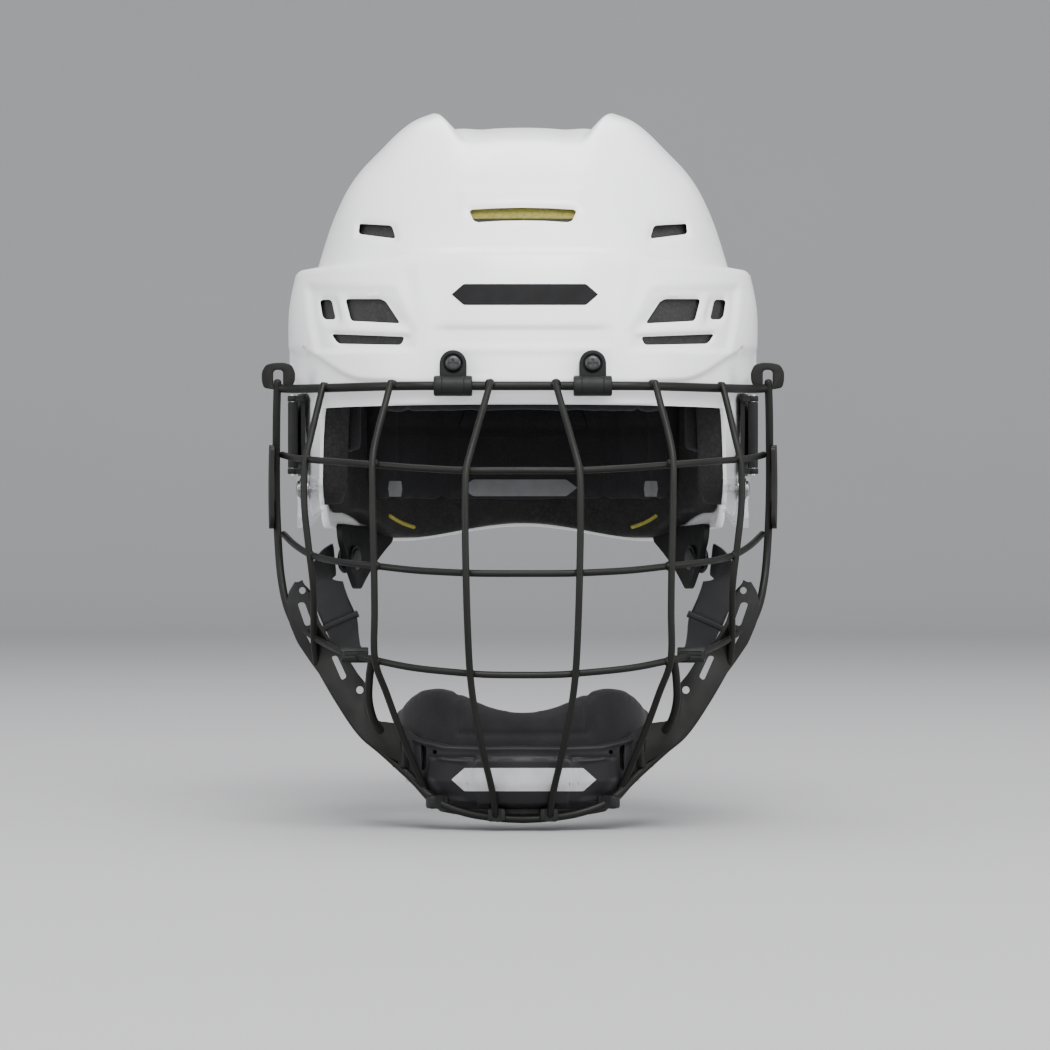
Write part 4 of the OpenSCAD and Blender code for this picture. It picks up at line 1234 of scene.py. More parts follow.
# forehead clips
CX = 29.4
for name, s in LR:
    y_back = -119.5
    plate = round_poly([(-5.7, 2.5), (5.7, 2.5), (5.7, 14.0)] + [(5.7 * math.cos(t), 14.0 + 5.7 * math.sin(t)) for t in np.linspace(0.2, math.pi - 0.2, 14)] + [(-5.7, 14.0)], 0.3, 1)
    v, f = extrude_data(plate, -129.8, y_back, lambda x, z, h: arr(x, h, z))
    cl = put("k", v, f, False)
    bevel(cl, 0.7, 3, 50)
    hook = [(-132 + 4.2 * math.cos(t), 4.5 + 4.2 * math.sin(t)) for t in np.linspace(math.radians(75), math.radians(262), 22)]
    hook = hook + [(-126.2, 0.3), (-124.6, 1.6), (-124.6, 7.9), (-126.4, 9.0)]
    v, f = extrude_data(hook, -8.1, 8.1, lambda y, z, h: arr(h, y, z))
    hk = put("k", v, f, False)
    bevel(hk, 0.6, 3, 50)
    boolean(cl, hk, "UNION")
    boolean(cl, rod("c", (-20, -132, 4.5), (20, -132, 4.5), 1.98, 48))
    boolean(cl, rod("c", (0, -140, 14), (0, -110, 14), 2.15, 32))
    boolean(cl, rod("c", (0, -140, 14), (0, -128.1, 14), 4.25, 48))
    v, f = box_data((0, -130.9, 0.4), (40, 1.2, 3.2))
    boolean(cl, put("c", v, f, False))
    # two relief grooves down the front of the hook
    for gx in (-4.6, 4.6):
        v, f = tube_data(np.array([[gx, -132 + 4.35 * math.cos(t), 4.5 + 4.35 * math.sin(t)] for t in np.linspace(math.radians(95), math.radians(255), 16)]), 0.32, sides=8)
        boolean(cl, put("c", v, f, False))
    cl.data.transform(Matrix.Translation((s * CX * 0.001, 0, 0)))
    cl.name = "j_clip_moulded_" + name
    shade(cl, True, 32)
    finish_piece(cl, "clip", "helmet", ["j_clip_" + name])
js = join("j_clip_screw_set", [screw("k", (s * CX, -128.3, 14), (0, -1, 0), 3.55, 1.9, 1.95, 12.5) for s in (1, -1)])
finish_piece(js, "dark_steel", "helmet", ["j_clip_screws"])

# ---------------------------------------------------------------- rear: strap tabs and studs
for name, s in LR:
    v, f = extrude_data(round_poly(grow(TAB, 2.6), 3.2, 8), 60, 140, lambda x, y, h: tab_pt(x, y, h, 1.0))
    cut = put("c", v, f, False)
    tb = patch_mesh("k", 106, 149, -93, -37, -7.0, -9.7, na=66, nz=50,
                    deco=lambda th, x, y, z: 0.0 * x)
    boolean(tb, cut, "INTERSECT")
    boolean(tb, rod("c", tuple(tab_pt(-2, 70, 60)), tuple(tab_pt(-2, 70, 140)), 1.7))
    # raised welt round the stud
    w = put("k", *lathe_data([(5.2, -0.5), (6.4, -0.5), (6.6, 0.2), (6.1, 0.75), (5.5, 0.75), (5.2, 0.3)], 40, tab_pt(0, 0, 1) - tab_pt(0, 0, 0), tab_pt(-2, 70, 92.9), close=False))
    tb = join("k", [tb, w])
    if s < 0:
        o = mirror_obj(tb, "k2")
        drop(tb)
        tb = o
    tb.name = "strap_tab_moulded_" + name
    shade(tb, True, 35)
    finish_piece(tb, "black", "rear", ["strap_tab_" + name])
st_parts, fl_parts = [], []
for s in (1, -1):
    ax = tab_pt(0, 0, 1, s) - tab_pt(0, 0, 0, s)
    st_parts.append(put("k", *lathe_data([(0.001, -2.2), (1.5, -2.2), (1.5, 0.4), (3.6, 0.5), (4.2, 0.8), (4.2, 1.3), (3.6, 1.75), (1.4, 1.9), (1.1, 1.5), (0.001, 1.4)], 40, ax, tab_pt(-2, 70, 95.6, s))))
    fl_parts.append(put("k", *lathe_data([(0.001, -3.8), (3.9, -3.8), (4.8, -3.6), (5.0, -3.2), (4.7, -2.7), (1.7, -2.6), (1.4, -2.1), (0.001, -2.1)], 40, ax, tab_pt(-2, 70, 95.6, s))))
stud = join("tab_stud_set", st_parts)
finish_piece(stud, "steel_dim", "rear", ["tab_studs"])
finish_piece(join("tab_stud_backs", fl_parts), "dark_steel", "rear")

# ---------------------------------------------------------------- cage wires
HY, HZ = -132.0, 4.5
TOP = [[42, -132, 4.5], [50, -130, 4.5], [60, -124, 4.5], [72, -113, 4.5], [84, -98, 4.6], [94, -83, 4.8], [101, -74, 5], [105.4, -70.4, 5.4]]
FRAME = [[106.5, -71, 8], [107, -69, -6], [107.3, -66, -22], [107.5, -63, -38], [107, -62, -56], [105, -69, -77], [100.5, -80, -93], [90, -93, -110],
         [79, -104, -128], [69, -112, -142], [60, -117, -149.5], [48, -122, -160], [37, -127, -170], [24, -131, -175], [10, -133.5, -177], [0, -134, -177.5]]
INNER = [[13.5, -135.1, 6], [16, -142.5, -3], [19, -152, -14], [22, -160.5, -25], [23.6, -164.5, -33], [23.8, -168.5, -52], [23.4, -170.5, -74], [22.8, -169.5, -95],
         [21.8, -166, -115], [20, -162, -130], [17.5, -156.5, -144], [15, -150.5, -155], [12.6, -143.5, -166], [11.4, -135.8, -176]]
MIDDLE = [[55.6, -129.6, 6], [58, -134, -4], [60.5, -140, -14], [62.6, -146.5, -26], [62.6, -150, -40], [62.2, -152.5, -58], [61.8, -154, -72], [61.6, -153, -90],
          [61.6, -150.5, -110], [57, -144, -124], [51.5, -137, -140], [46.5, -130.5, -153], [41.5, -124.5, -165]]
OUTER = [[85.3, -99, 6], [88, -104, -6], [90.6, -108.5, -18], [92.6, -111.5, -28], [92.8, -114, -45], [91, -115.5, -62], [88.8, -114, -82], [89.2, -105.2, -102], [88.2, -101, -113]]
BROW = [[0, -163.6, -31.5], [12, -163.1, -31.5], [23.6, -161.8, -31.4], [44, -154.5, -30.3], [62.3, -144, -28.8], [78, -129, -27.4], [91, -110.5, -26.2], [99, -92, -25], [104.5, -70, -23.5]]
MID = [[0, -168.2, -74], [12, -168.1, -74], [23.3, -167.8, -73.8], [44, -161, -72.8], [61.4, -151.2, -71], [77, -137, -69.4], [88.8, -115.8, -67], [97, -98, -63], [104, -67, -58]]
MOUTH = [[0, -163.8, -116], [12, -163.8, -115.9], [21.6, -163.4, -115.4], [44, -157.5, -113.4], [60.6, -148.4, -110.5], [74.6, -133, -107.6], [85, -111, -104], [92, -98.5, -100], [98.5, -84, -95]]
STRUT = [[63, -145.5, -110.5], [64.2, -140, -118], [64.7, -133.5, -127.5], [63, -125.5, -136], [60, -120.8, -140.8]]


def side(p, s):
    return [[s * q[0], q[1], q[2]] for q in p]


def halves(p):
    return side(p[:0:-1], -1) + p


def smooth_path(p, step=1.5):
    return resample(relax(hermite_path(p, 12), 4), step)


WIRES = {}


def add_wire(name, pts, r, node, ref=None, step=1.5):
    path = smooth_path(pts, step)
    WIRES[name] = path
    ob = tube(name, path, r, sides=16, ref=ref)
    finish_piece(ob, "wire", "cage", [node] if node else ())
    return ob


tw = []
full = side(TOP[::-1], -1) + [[-30, HY, HZ], [-14, HY, HZ], [0, HY, HZ], [14, HY, HZ], [30, HY, HZ]] + TOP
path = hermite_path(full, 10)
inside = np.abs(path[:, 0]) < 41.5
path[inside, 1] = HY
path[inside, 2] = HZ
path = resample(path, 1.5)
WIRES["top"] = path
ob = tube("top_wire_coated", path, 1.9, sides=20)
finish_piece(ob, "wire", "cage", ["top_wire"])
for name, s in LR:
    add_wire("frame_wire_coated_" + name, side(FRAME, s), 1.7, "frame_wire_" + name, (0, 1, 0))
    add_wire("inner_wire_coated_" + name, side(INNER, s), 1.45, "inner_wire_" + name, (1, 0, 0))
    add_wire("middle_wire_coated_" + name, side(MIDDLE, s), 1.45, "middle_wire_" + name, (1, 0, 0))
    add_wire("outer_wire_coated_" + name, side(OUTER, s), 1.45, "outer_wire_" + name, (1, 0, 0))
add_wire("brow_wire_coated", halves(BROW), 1.45, "brow_wire")
add_wire("mid_wire_coated", halves(MID), 1.45, "mid_wire")
add_wire("mouth_wire_coated", halves(MOUTH), 1.45, "mouth_wire")
st = []
for name, s in LR:
    p = smooth_path(side(STRUT, s))
    WIRES["strut_" + name] = p
    st.append(put("k", *tube_data(p, 1.7, sides=16)))
finish_piece(join("jaw_strut_set", st), "wire", "cage", ["jaw_struts"])

# weld beads where wires cross
beads = []
names = list(WIRES)
for i in range(len(names)):
    for j in range(i + 1, len(names)):
        a, b = WIRES[names[i]], WIRES[names[j]]
        d = np.linalg.norm(a[:, None] - b[None], axis=2)
        done = []
        while True:
            k = np.unravel_index(np.argmin(d), d.shape)
            if d[k] > 4.2 or len(done) > 3:
                break
            c = (a[k[0]] + b[k[1]]) / 2
            done.append(c)
            ta = unit(a[min(k[0] + 1, len(a) - 1)] - a[max(k[0] - 1, 0)])
            tb_ = unit(b[min(k[1] + 1, len(b) - 1)] - b[max(k[1] - 1, 0)])
            n = np.cross(ta, tb_)
            if np.linalg.norm(n) > 0.15:
                beads.append((c, ta, tb_, unit(n), float(d[k])))
            near = (np.linalg.norm(a - a[k[0]], axis=1) < 14)
            d[near, :] = 99
bd = []
for c, ta, tb_, n, dist in beads:
    u = unit(ta + tb_)
    w = np.cross(n, u)
    m = []
    rings, seg = 9, 16
    V = []
    for i in range(rings):
        ph = math.pi * (i + 0.5) / rings
        for k in range(seg):
            t = 2 * math.pi * k / seg
            lump = 1 + 0.10 * math.sin(3 * t + i) + 0.06 * math.sin(5 * t - 2 * i)
            V.append(c + (u * math.cos(t) + w * math.sin(t)) * (2.05 * math.sin(ph) * lump) + n * (math.cos(ph) * (dist / 2 + 0.85)))
    F = grid_faces(seg, rings, 0, True)
    F += [[k for k in range(seg)][::-1], [(rings - 1) * seg + k for k in range(seg)]]
    bd.append(put("k", V, F))
wb = join("weld_beads", bd)
finish_piece(wb, "wire", "cage", ())

# temple eyelets
for name, s in LR:
    outer = [(262, 372), (266, 365), (274, 363), (284, 362.6), (292, 365), (295.5, 373), (295, 382), (290, 389), (283, 391), (270, 389), (264, 388), (262, 381)]
    hole = [(273.5, 372), (275.5, 370), (281, 370), (283.3, 372), (283.3, 385), (281, 387.5), (275.5, 387.5), (273.5, 385)]
    v, f = merge_data([extrude_data([(at_px(x, y, -69)[0], at_px(x, y, -69)[2]) for x, y in round_poly(outer, 3, 4)], -71.2, -68.2, lambda x, z, h: arr(x, h, z))])
    ey = put("k", v, f, False)
    hh = round_poly(hole, 2.5, 4)
    v, f = extrude_data([(at_px(x, y, -69)[0], at_px(x, y, -69)[2]) for x, y in hh], -90, -50, lambda x, z, h: arr(x, h, z))
    boolean(ey, put("c", v, f, False))
    bevel(ey, 0.55, 3, 40)
    if s > 0:
        o = mirror_obj(ey, "k2")
        drop(ey)
        ey = o
    ey.name = "temple_eyelet_stamped_" + name
    shade(ey, True, 35)
    finish_piece(ey, "wire", "cage", ["temple_eyelet_" + name])

# cheek plates: bowed stamped plates with two strap slots and a turned-in front edge
for name, s in LR:
    ny, nz = 60, 50
    Y = np.linspace(-84, -48, ny)
    Z = np.linspace(-56, -19, nz)
    YY, ZZ = np.meshgrid(Y, Z)
    def px_of(y, z):
        return 110.5 - 0.0016 * (y + 62) ** 2 - 0.8 * (1 - sm(-84, -79, y)) - 0.0009 * (z + 37.5) ** 2
    X = px_of(YY, ZZ)
    o = np.stack([X, YY, ZZ], -1)
    i = np.stack([X - 1.7, YY, ZZ], -1)
    m = ny * nz
    v = np.concatenate([o.reshape(-1, 3), i.reshape(-1, 3)])
    f = grid_faces(ny, nz, 0) + grid_faces(ny, nz, m, False, True)
    for j in range(ny - 1):
        f += [[j + 1, j, m + j, m + j + 1], [(nz - 1) * ny + j, (nz - 1) * ny + j + 1, m + (nz - 1) * ny + j + 1, m + (nz - 1) * ny + j]]
    for j in range(nz - 1):
        f += [[j * ny, j * ny + ny, m + j * ny + ny, m + j * ny], [j * ny + 2 * ny - 1, j * ny + ny - 1, m + j * ny + ny - 1, m + j * ny + 2 * ny - 1]]
    cpl = put("k", v, f)
    out = round_poly([(-83.6, -20.5), (-80, -19.4), (-52, -19.4), (-48.4, -24), (-48.4, -51), (-52, -55.6), (-80, -55.6), (-83.6, -52)], 6, 8)
    v, f = extrude_data(out, 60, 140, lambda y, z, h: arr(h, y, z))
    boolean(cpl, put("c", v, f, False), "INTERSECT")
    for yy in (-77, -55):
        v, f = extrude_data(slot_pts(yy, -46, yy, -29, 2.0), 60, 140, lambda y, z, h: arr(h, y, z))
        boolean(cpl, put("c", v, f, False))
    v, f = extrude_data(slot_pts(-66, -41, -66, -34, 3.2), 60, 140, lambda y, z, h: arr(h, y, z))
    boolean(cpl, put("c", v, f, False))
    if s < 0:
        o = mirror_obj(cpl, "k2")
        drop(cpl)
        cpl = o
    cpl.name = "cheek_plate_stamped_" + name
    shade(cpl, True, 35)
    finish_piece(cpl, "wire", "cage", ["cheek_plate_" + name])

# jaw plates, stamped sheet
OUT_E = [(297, 582), (291, 592), (289, 602), (291, 622), (299, 642), (312, 662), (328, 684), (344, 708), (358, 728), (374, 746), (392, 757), (404, 764)]
IN_E = [(303, 582), (309, 590), (312, 600), (318, 622), (330, 642), (343, 652), (350, 662), (358, 674), (365, 682), (367, 700), (375, 720), (398, 726)]
JY = [(582, -95, -99), (592, -88, -106), (602, -85, -107), (622, -87, -106), (642, -93, -106), (662, -99, -109), (684, -105.5, -113), (708, -111, -118), (728, -115, -121), (746, -119, -123.5), (764, -122, -125)]


def jaw_edge(t):
    """Two px edges matched by position along the plate."""
    k = np.linspace(0, 1, len(OUT_E))
    o = np.array(OUT_E, float)
    i = np.array(IN_E, float)
    po = np.stack([np.interp(t, k, o[:, 0]), np.interp(t, k, o[:, 1])], -1)
    pi = np.stack([np.interp(t, k, i[:, 0]), np.interp(t, k, i[:, 1])], -1)
    return po, pi


jt = np.linspace(0, 1, 120)
po, pi_ = jaw_edge(jt)
for _ in range(3):
    po[1:-1] = 0.25 * po[:-2] + 0.5 * po[1:-1] + 0.25 * po[2:]
    pi_[1:-1] = 0.25 * pi_[:-2] + 0.5 * pi_[1:-1] + 0.25 * pi_[2:]
jy = np.array(JY, float)
nv_ = 14
base = []
for r_ in range(len(jt)):
    row = []
    for c_ in range(nv_):
        v_ = c_ / (nv_ - 1)
        q = po[r_] * (1 - v_) + pi_[r_] * v_
        yo = np.interp(q[1], jy[:, 0], jy[:, 1])
        yi = np.interp(q[1], jy[:, 0], jy[:, 2])
        yy = yo * (1 - v_) + yi * v_ - 1.1 * 4 * v_ * (1 - v_)
        row.append(at_px(q[0], q[1], yy))
    base.append(row)
base = np.array(base)
du = np.gradient(base, axis=0)
dv = np.gradient(base, axis=1)
nn = unit(np.cross(du, dv))
if nn[..., 1].mean() > 0:
    nn = -nn
m = base.shape[0] * nv_
v = np.concatenate([(base + nn * 1.0).reshape(-1, 3), (base - nn * 0.9).reshape(-1, 3)])
f = grid_faces(nv_, len(jt), 0) + grid_faces(nv_, len(jt), m, False, True)
for j in range(nv_ - 1):
    f += [[j + 1, j, m + j, m + j + 1], [(len(jt) - 1) * nv_ + j, (len(jt) - 1) * nv_ + j + 1, m + (len(jt) - 1) * nv_ + j + 1, m + (len(jt) - 1) * nv_ + j]]
for j in range(len(jt) - 1):
    f += [[j * nv_, j * nv_ + nv_, m + j * nv_ + nv_, m + j * nv_], [j * nv_ + 2 * nv_ - 1, j * nv_ + nv_ - 1, m + j * nv_ + nv_ - 1, m + j * nv_ + 2 * nv_ - 1]]
jp = put("jaw_plate_stamped_right", v, f)
for h in ([(302.5 + 3.2 * math.cos(t), 590.5 + 3.4 * math.sin(t)) for t in np.linspace(0, 6.283, 20, endpoint=False)],
          round_poly([(297.5, 603), (304.5, 602), (312.5, 624), (305.5, 626.5)], 4, 5),
          round_poly([(304, 631), (310.5, 630.5), (316, 645), (312, 646)], 2, 3),
          round_poly([(331.5, 656.5), (337, 655.5), (347, 677), (342, 680.5)], 4, 5),
          [(360 + 3.6 * math.cos(t), 690 + 3.8 * math.sin(t)) for t in np.linspace(0, 6.283, 20, endpoint=False)]):
    n = len(h)
    vv = [at_px(x, y, -150) for x, y in h] + [at_px(x, y, -60) for x, y in h]
    ff = [list(range(n)), list(range(2 * n - 1, n - 1, -1))] + [[i, i + n, (i + 1) % n + n, (i + 1) % n] for i in range(n)]
    boolean(jp, put("c", vv, ff, False))
shade(jp, True, 35)
jl = mirror_obj(jp, "jaw_plate_stamped_left")
shade(jl, True, 35)
finish_piece(jp, "wire", "cage", ["jaw_plate_right", "jaw_loops"])
finish_piece(jl, "wire", "cage", ["jaw_plate_left"])

# ---------------------------------------------------------------- chin cup
CUP_Y = -88.0


def cup_r(z):
    return np.interp(z, [-173.5, -170.5, -166, -162, -152, -145.5, -130, -110], [43.5, 50.5, 53.6, 55.5, 57.0, 57.0, 56.0, 54.5])


def at_cup(px, py, inset=0.0):
    """The point of the cup's outer face that the camera sees at px, py."""
    y = -140.0
    for _ in range(12):
        p = at_px(px, py, y)
        r = cup_r(p[2]) - inset
        y = CUP_Y - math.sqrt(max(r * r - p[0] * p[0], 2.0))
    return at_px(px, py, y)


def cup_top(dx):
    return np.interp(dx, [0, 39, 78, 100, 112, 121, 128], [746.0, 746.5, 745.0, 740.0, 736, 733, 733])


def cup_low(dx):
    return np.interp(dx, [0, 24, 30, 43, 63, 86, 98, 110, 121, 128], [815, 815, 812, 811.5, 811, 810, 800, 786, 771, 768])


def cup_relief(dx, py):
    c = 0.0
    panel = poly_sdf([(-46, 757), (46, 757), (50, 766), (44, 806), (-44, 806), (-50, 766)], dx, py)
    c = c + 1.1 * (1 - sm(-2.0, 2.5, panel))
    c = c - 0.8 * np.exp(-((py - 757.5) / 1.8) ** 2) * (1 - sm(88, 96, np.abs(dx)))
    c = c - 0.7 * np.exp(-((py - 804.0) / 1.8) ** 2) * (1 - sm(80, 90, np.abs(dx)))
    c = c + 0.7 * np.exp(-((py - cup_top(np.abs(dx)) - 2.5) / 2.6) ** 2)
    side = poly_sdf([(58, 764), (88, 760), (92, 778), (80, 797), (58, 799)], np.abs(dx), py)
    c = c - 0.9 * (1 - sm(-1.5, 2.5, side))
    return c


nx, ny = 129, 48
P = np.zeros((ny, nx, 3))
for i in range(nx):
    dx = -127.0 + 254.0 * i / (nx - 1)
    a, b = float(cup_top(abs(dx))), float(cup_low(abs(dx)))
    for j in range(ny):
        P[j, i] = at_cup(PX0 + dx, a + (b - a) * j / (ny - 1))
N = unit(np.cross(np.gradient(P, axis=1), np.gradient(P, axis=0)))
if N[..., 1].mean() > 0:
    N = -N
DX = np.tile(np.linspace(-127, 127, nx), (ny, 1))
PYs = np.stack([np.linspace(float(cup_top(abs(d))), float(cup_low(abs(d))), ny) for d in DX[0]], 1)
O = P + N * cup_relief(DX, PYs)[..., None]
edge_t = np.minimum(np.linspace(0, 1, ny)[:, None] * 60, (1 - np.linspace(0, 1, ny))[:, None] * 60)
edge_s = np.minimum((DX + 127), (127 - DX)) * 0.42
e = np.minimum(np.broadcast_to(edge_t, O.shape[:2]), edge_s)
roll = 1.3 - np.sqrt(np.maximum(0, 1.3 ** 2 - np.maximum(0, 1.3 - e) ** 2))
O = O - N * roll[..., None]
I = P - N * (3.0 - 0.0)
I = P - N * 3.0
# the lower edge rolls under the chin
ROLL = []
for k in range(1, 7):
    t = k / 6 * math.radians(75)
    ROLL.append(O[-1] + np.array([0, 1, 0]) * 9.0 * math.sin(t) + np.array([0, 0, -1]) * 3.2 * (1 - math.cos(t)) * (1 - sm(60, 110, np.abs(DX[0])))[:, None])
lipo = np.concatenate([O, np.array(ROLL)])
ROLLI = []
for k in range(1, 7):
    t = k / 6 * math.radians(75)
    ROLLI.append(I[-1] + np.array([0, 1, 0]) * 7.0 * math.sin(t) + np.array([0, 0, -1]) * 2.4 * (1 - math.cos(t)) * (1 - sm(60, 110, np.abs(DX[0])))[:, None])
lipi = np.concatenate([I, np.array(ROLLI)])
# keep a real wall under the rolled lip
lipi[ny:, :, 2] = np.maximum(lipi[ny:, :, 2], lipo[ny:, :, 2] + 1.9)
rows = lipo.shape[0]
m = rows * nx
v = np.concatenate([lipo.reshape(-1, 3), lipi.reshape(-1, 3)])
f = grid_faces(nx, rows, 0) + grid_faces(nx, rows, m, False, True)
for j in range(nx - 1):
    f += [[j + 1, j, m + j, m + j + 1], [(rows - 1) * nx + j, (rows - 1) * nx + j + 1, m + (rows - 1) * nx + j + 1, m + (rows - 1) * nx + j]]
for j in range(rows - 1):
    f += [[j * nx, j * nx + nx, m + j * nx + nx, m + j * nx], [j * nx + 2 * nx - 1, j * nx + nx - 1, m + j * nx + nx - 1, m + j * nx + 2 * nx - 1]]
cup = put("chin_cup_moulded", v, f)


def view_prism(poly, y0, y1):
    n = len(poly)
    vv = [at_px(x, y, y0) for x, y in poly] + [at_px(x, y, y1) for x, y in poly]
    ff = [list(range(n)), list(range(2 * n - 1, n - 1, -1))] + [[i, i + n, (i + 1) % n + n, (i + 1) % n] for i in range(n)]
    return put("c", vv, ff, False)


for s in (1, -1):
    q = round_poly([(PX0 - s * 102, 744), (PX0 - s * 96.5, 747), (PX0 - s * 97, 768), (PX0 - s * 101, 771)][::int(s)], 2.5, 4)
    boolean(cup, view_prism(q, -170, -95))
    q = [(PX0 - s * 88 + 2.2 * math.cos(t), 752 + 2.2 * math.sin(t)) for t in np.linspace(0, 6.283, 16, endpoint=False)]
    boolean(cup, view_prism(q, -170, -95))
shade(cup, True, 30)
finish_piece(cup, "cup", "cage", ["chin_cup"])

# foam of the chin cup: two lobes over the rim, with a dip between
L_TOP = [(0, 711.5), (20, 710), (42, 704), (58, 697), (74, 690), (91, 686.0), (106, 688), (117, 695), (125, 706), (130, 721), (132, 738)]


def lobe_top(dx):
    a = np.array(L_TOP, float)
    return np.interp(dx, a[:, 0], a[:, 1])


nx, ny = 121, 60
P = np.zeros((ny, nx, 3))
DX = np.linspace(-132, 132, nx)
lt = lobe_top(np.abs(DX))
for _ in range(4):
    lt[1:-1] = 0.25 * lt[:-2] + 0.5 * lt[1:-1] + 0.25 * lt[2:]
lb_ = np.interp(np.abs(DX), [0, 90, 110, 130], [800, 798, 782, 760])
for i in range(nx):
    for j in range(ny):
        P[j, i] = at_cup(PX0 + DX[i], lt[i] + (lb_[i] - lt[i]) * j / (ny - 1), 3.4)
N = unit(np.cross(np.gradient(P, axis=1), np.gradient(P, axis=0)))
if N[..., 1].mean() > 0:
    N = -N
vv_ = np.linspace(0, 1, ny)[:, None]
uu_ = (DX[None] + 132) / 264
half = 4.2
dt = vv_ * (lb_ - lt)[None] * 0.42
ds = np.minimum(DX[None] + 132, 132 - DX[None]) * 0.6 + 0 * vv_
rr = 4.0
ed = np.minimum(dt, ds)
thick = np.where(ed < rr, np.sqrt(np.maximum(0, rr ** 2 - (rr - ed) ** 2)) / rr, 1.0)
mid = P - N * half
bulge = 0.9 * np.sin(np.clip(uu_ * 2 * math.pi, 0, 7)) ** 2
O = mid + N * (half * thick * (1 + 0.0))[..., None]
I = mid - N * ((half + bulge) * thick)[..., None]
m = nx * ny
v = np.concatenate([O.reshape(-1, 3), I.reshape(-1, 3)])
f = grid_faces(nx, ny, 0) + grid_faces(nx, ny, m, False, True)
for j in range(nx - 1):
    f += [[j + 1, j, m + j, m + j + 1], [(ny - 1) * nx + j, (ny - 1) * nx + j + 1, m + (ny - 1) * nx + j + 1, m + (ny - 1) * nx + j]]
for j in range(ny - 1):
    f += [[j * nx, j * nx + nx, m + j * nx + nx, m + j * nx], [j * nx + 2 * nx - 1, j * nx + nx - 1, m + j * nx + nx - 1, m + j * nx + 2 * nx - 1]]
foam = put("chin_foam_pad", v, f)
inflate(foam, voxel=2.4, pressure=1.5, frames_n=10, cap=0.7)
press(foam, lambda c: groove(np.abs(c[:, 0]) - 27.0, 1.4, 0.9) * (c[:, 2] > -142) + groove(c[:, 2] + 141.5, 1.2, 0.8) * (np.abs(c[:, 0]) < 27))
finish_piece(foam, "cupfoam", "cage", ["chin_foam"])

# feet and side clips that hold the cup to the wires, with bright rivets
cc = []
for s in (1, -1):
    for (cx, cy, cz), dims, az in (((11, -134.4, -175.6), (7.6, 6.2, 5.6), 0), ((36, -127.4, -170.6), (8.8, 6.2, 5.6), 22), ((50, -118, -151), (8.2, 8.4, 11.6), 38)):
        R = rot_z(math.radians(-s * az))
        v, f = box_data((s * cx, cy, cz), dims, R)
        b = put("k", v, f, False)
        bevel(b, 1.1, 3, 40)
        g = put("c", *box_data(arr(s * cx, cy, cz) + R @ arr(0, -dims[1] / 2, 0), (dims[0] * 0.5, 1.2, dims[2] * 1.3), R), smooth=False)
        boolean(b, g)
        cc.append(b)
ARM = [(371, 728), (380, 721), (402, 724), (420, 738), (424, 760), (414, 783), (404, 775), (393, 761), (381, 752), (373, 743)]


def arm_y(px):
    return float(np.interp(px, [372, 398, 425], [-113.0, -118.0, -121.5]))


for s in (1, -1):
    q = [(PX0 + s * (x - PX0), y) for x, y in round_poly(ARM, 5, 5)]
    v, f = extrude_data(q, -1.6, 1.6, lambda x, y, h, s=s: at_px(x, y, arm_y(PX0 - abs(x - PX0)) + h))
    b = put("k", v, f, False)
    bevel(b, 0.5, 2, 50)
    cc.append(b)
cl = join("chin_clip_set", cc)
finish_piece(cl, "black", "cage", ["chin_clips"])
rv = []
for s in (1, -1):
    for dx, py in ((122, 752), (114, 778)):
        p = at_px(PX0 - s * dx, py, arm_y(PX0 - dx) - 1.5)
        rv.append(put("k", *lathe_data([(0.001, -2.5), (0.9, -2.5), (0.9, 0), (1.5, 0), (1.6, 0.25), (1.3, 0.6), (0.8, 0.8), (0.001, 0.85)], 28, (0, -1, 0), p)))
rvo = join("chin_rivets", rv)
finish_piece(rvo, "steel", "cage", ())

# ---------------------------------------------------------------- side straps
STRAP = [[88, 63, -70], [90.6, 52, -72.5], [90.8, 38, -76], [88.5, 10, -82], [84.8, -25, -88.5], [80.5, -55, -95]]
LEAD = [[79, -64.5, -97], [76.5, -90, -101.5], [73.6, -113, -105.8], [71.3, -131.3, -108.5]]
BAR = arr(79.7, -60, -96.1)
BARD = unit(arr(0.914, 0, -0.407))
FLAT = arr(0.4, 0.1, 0.9)


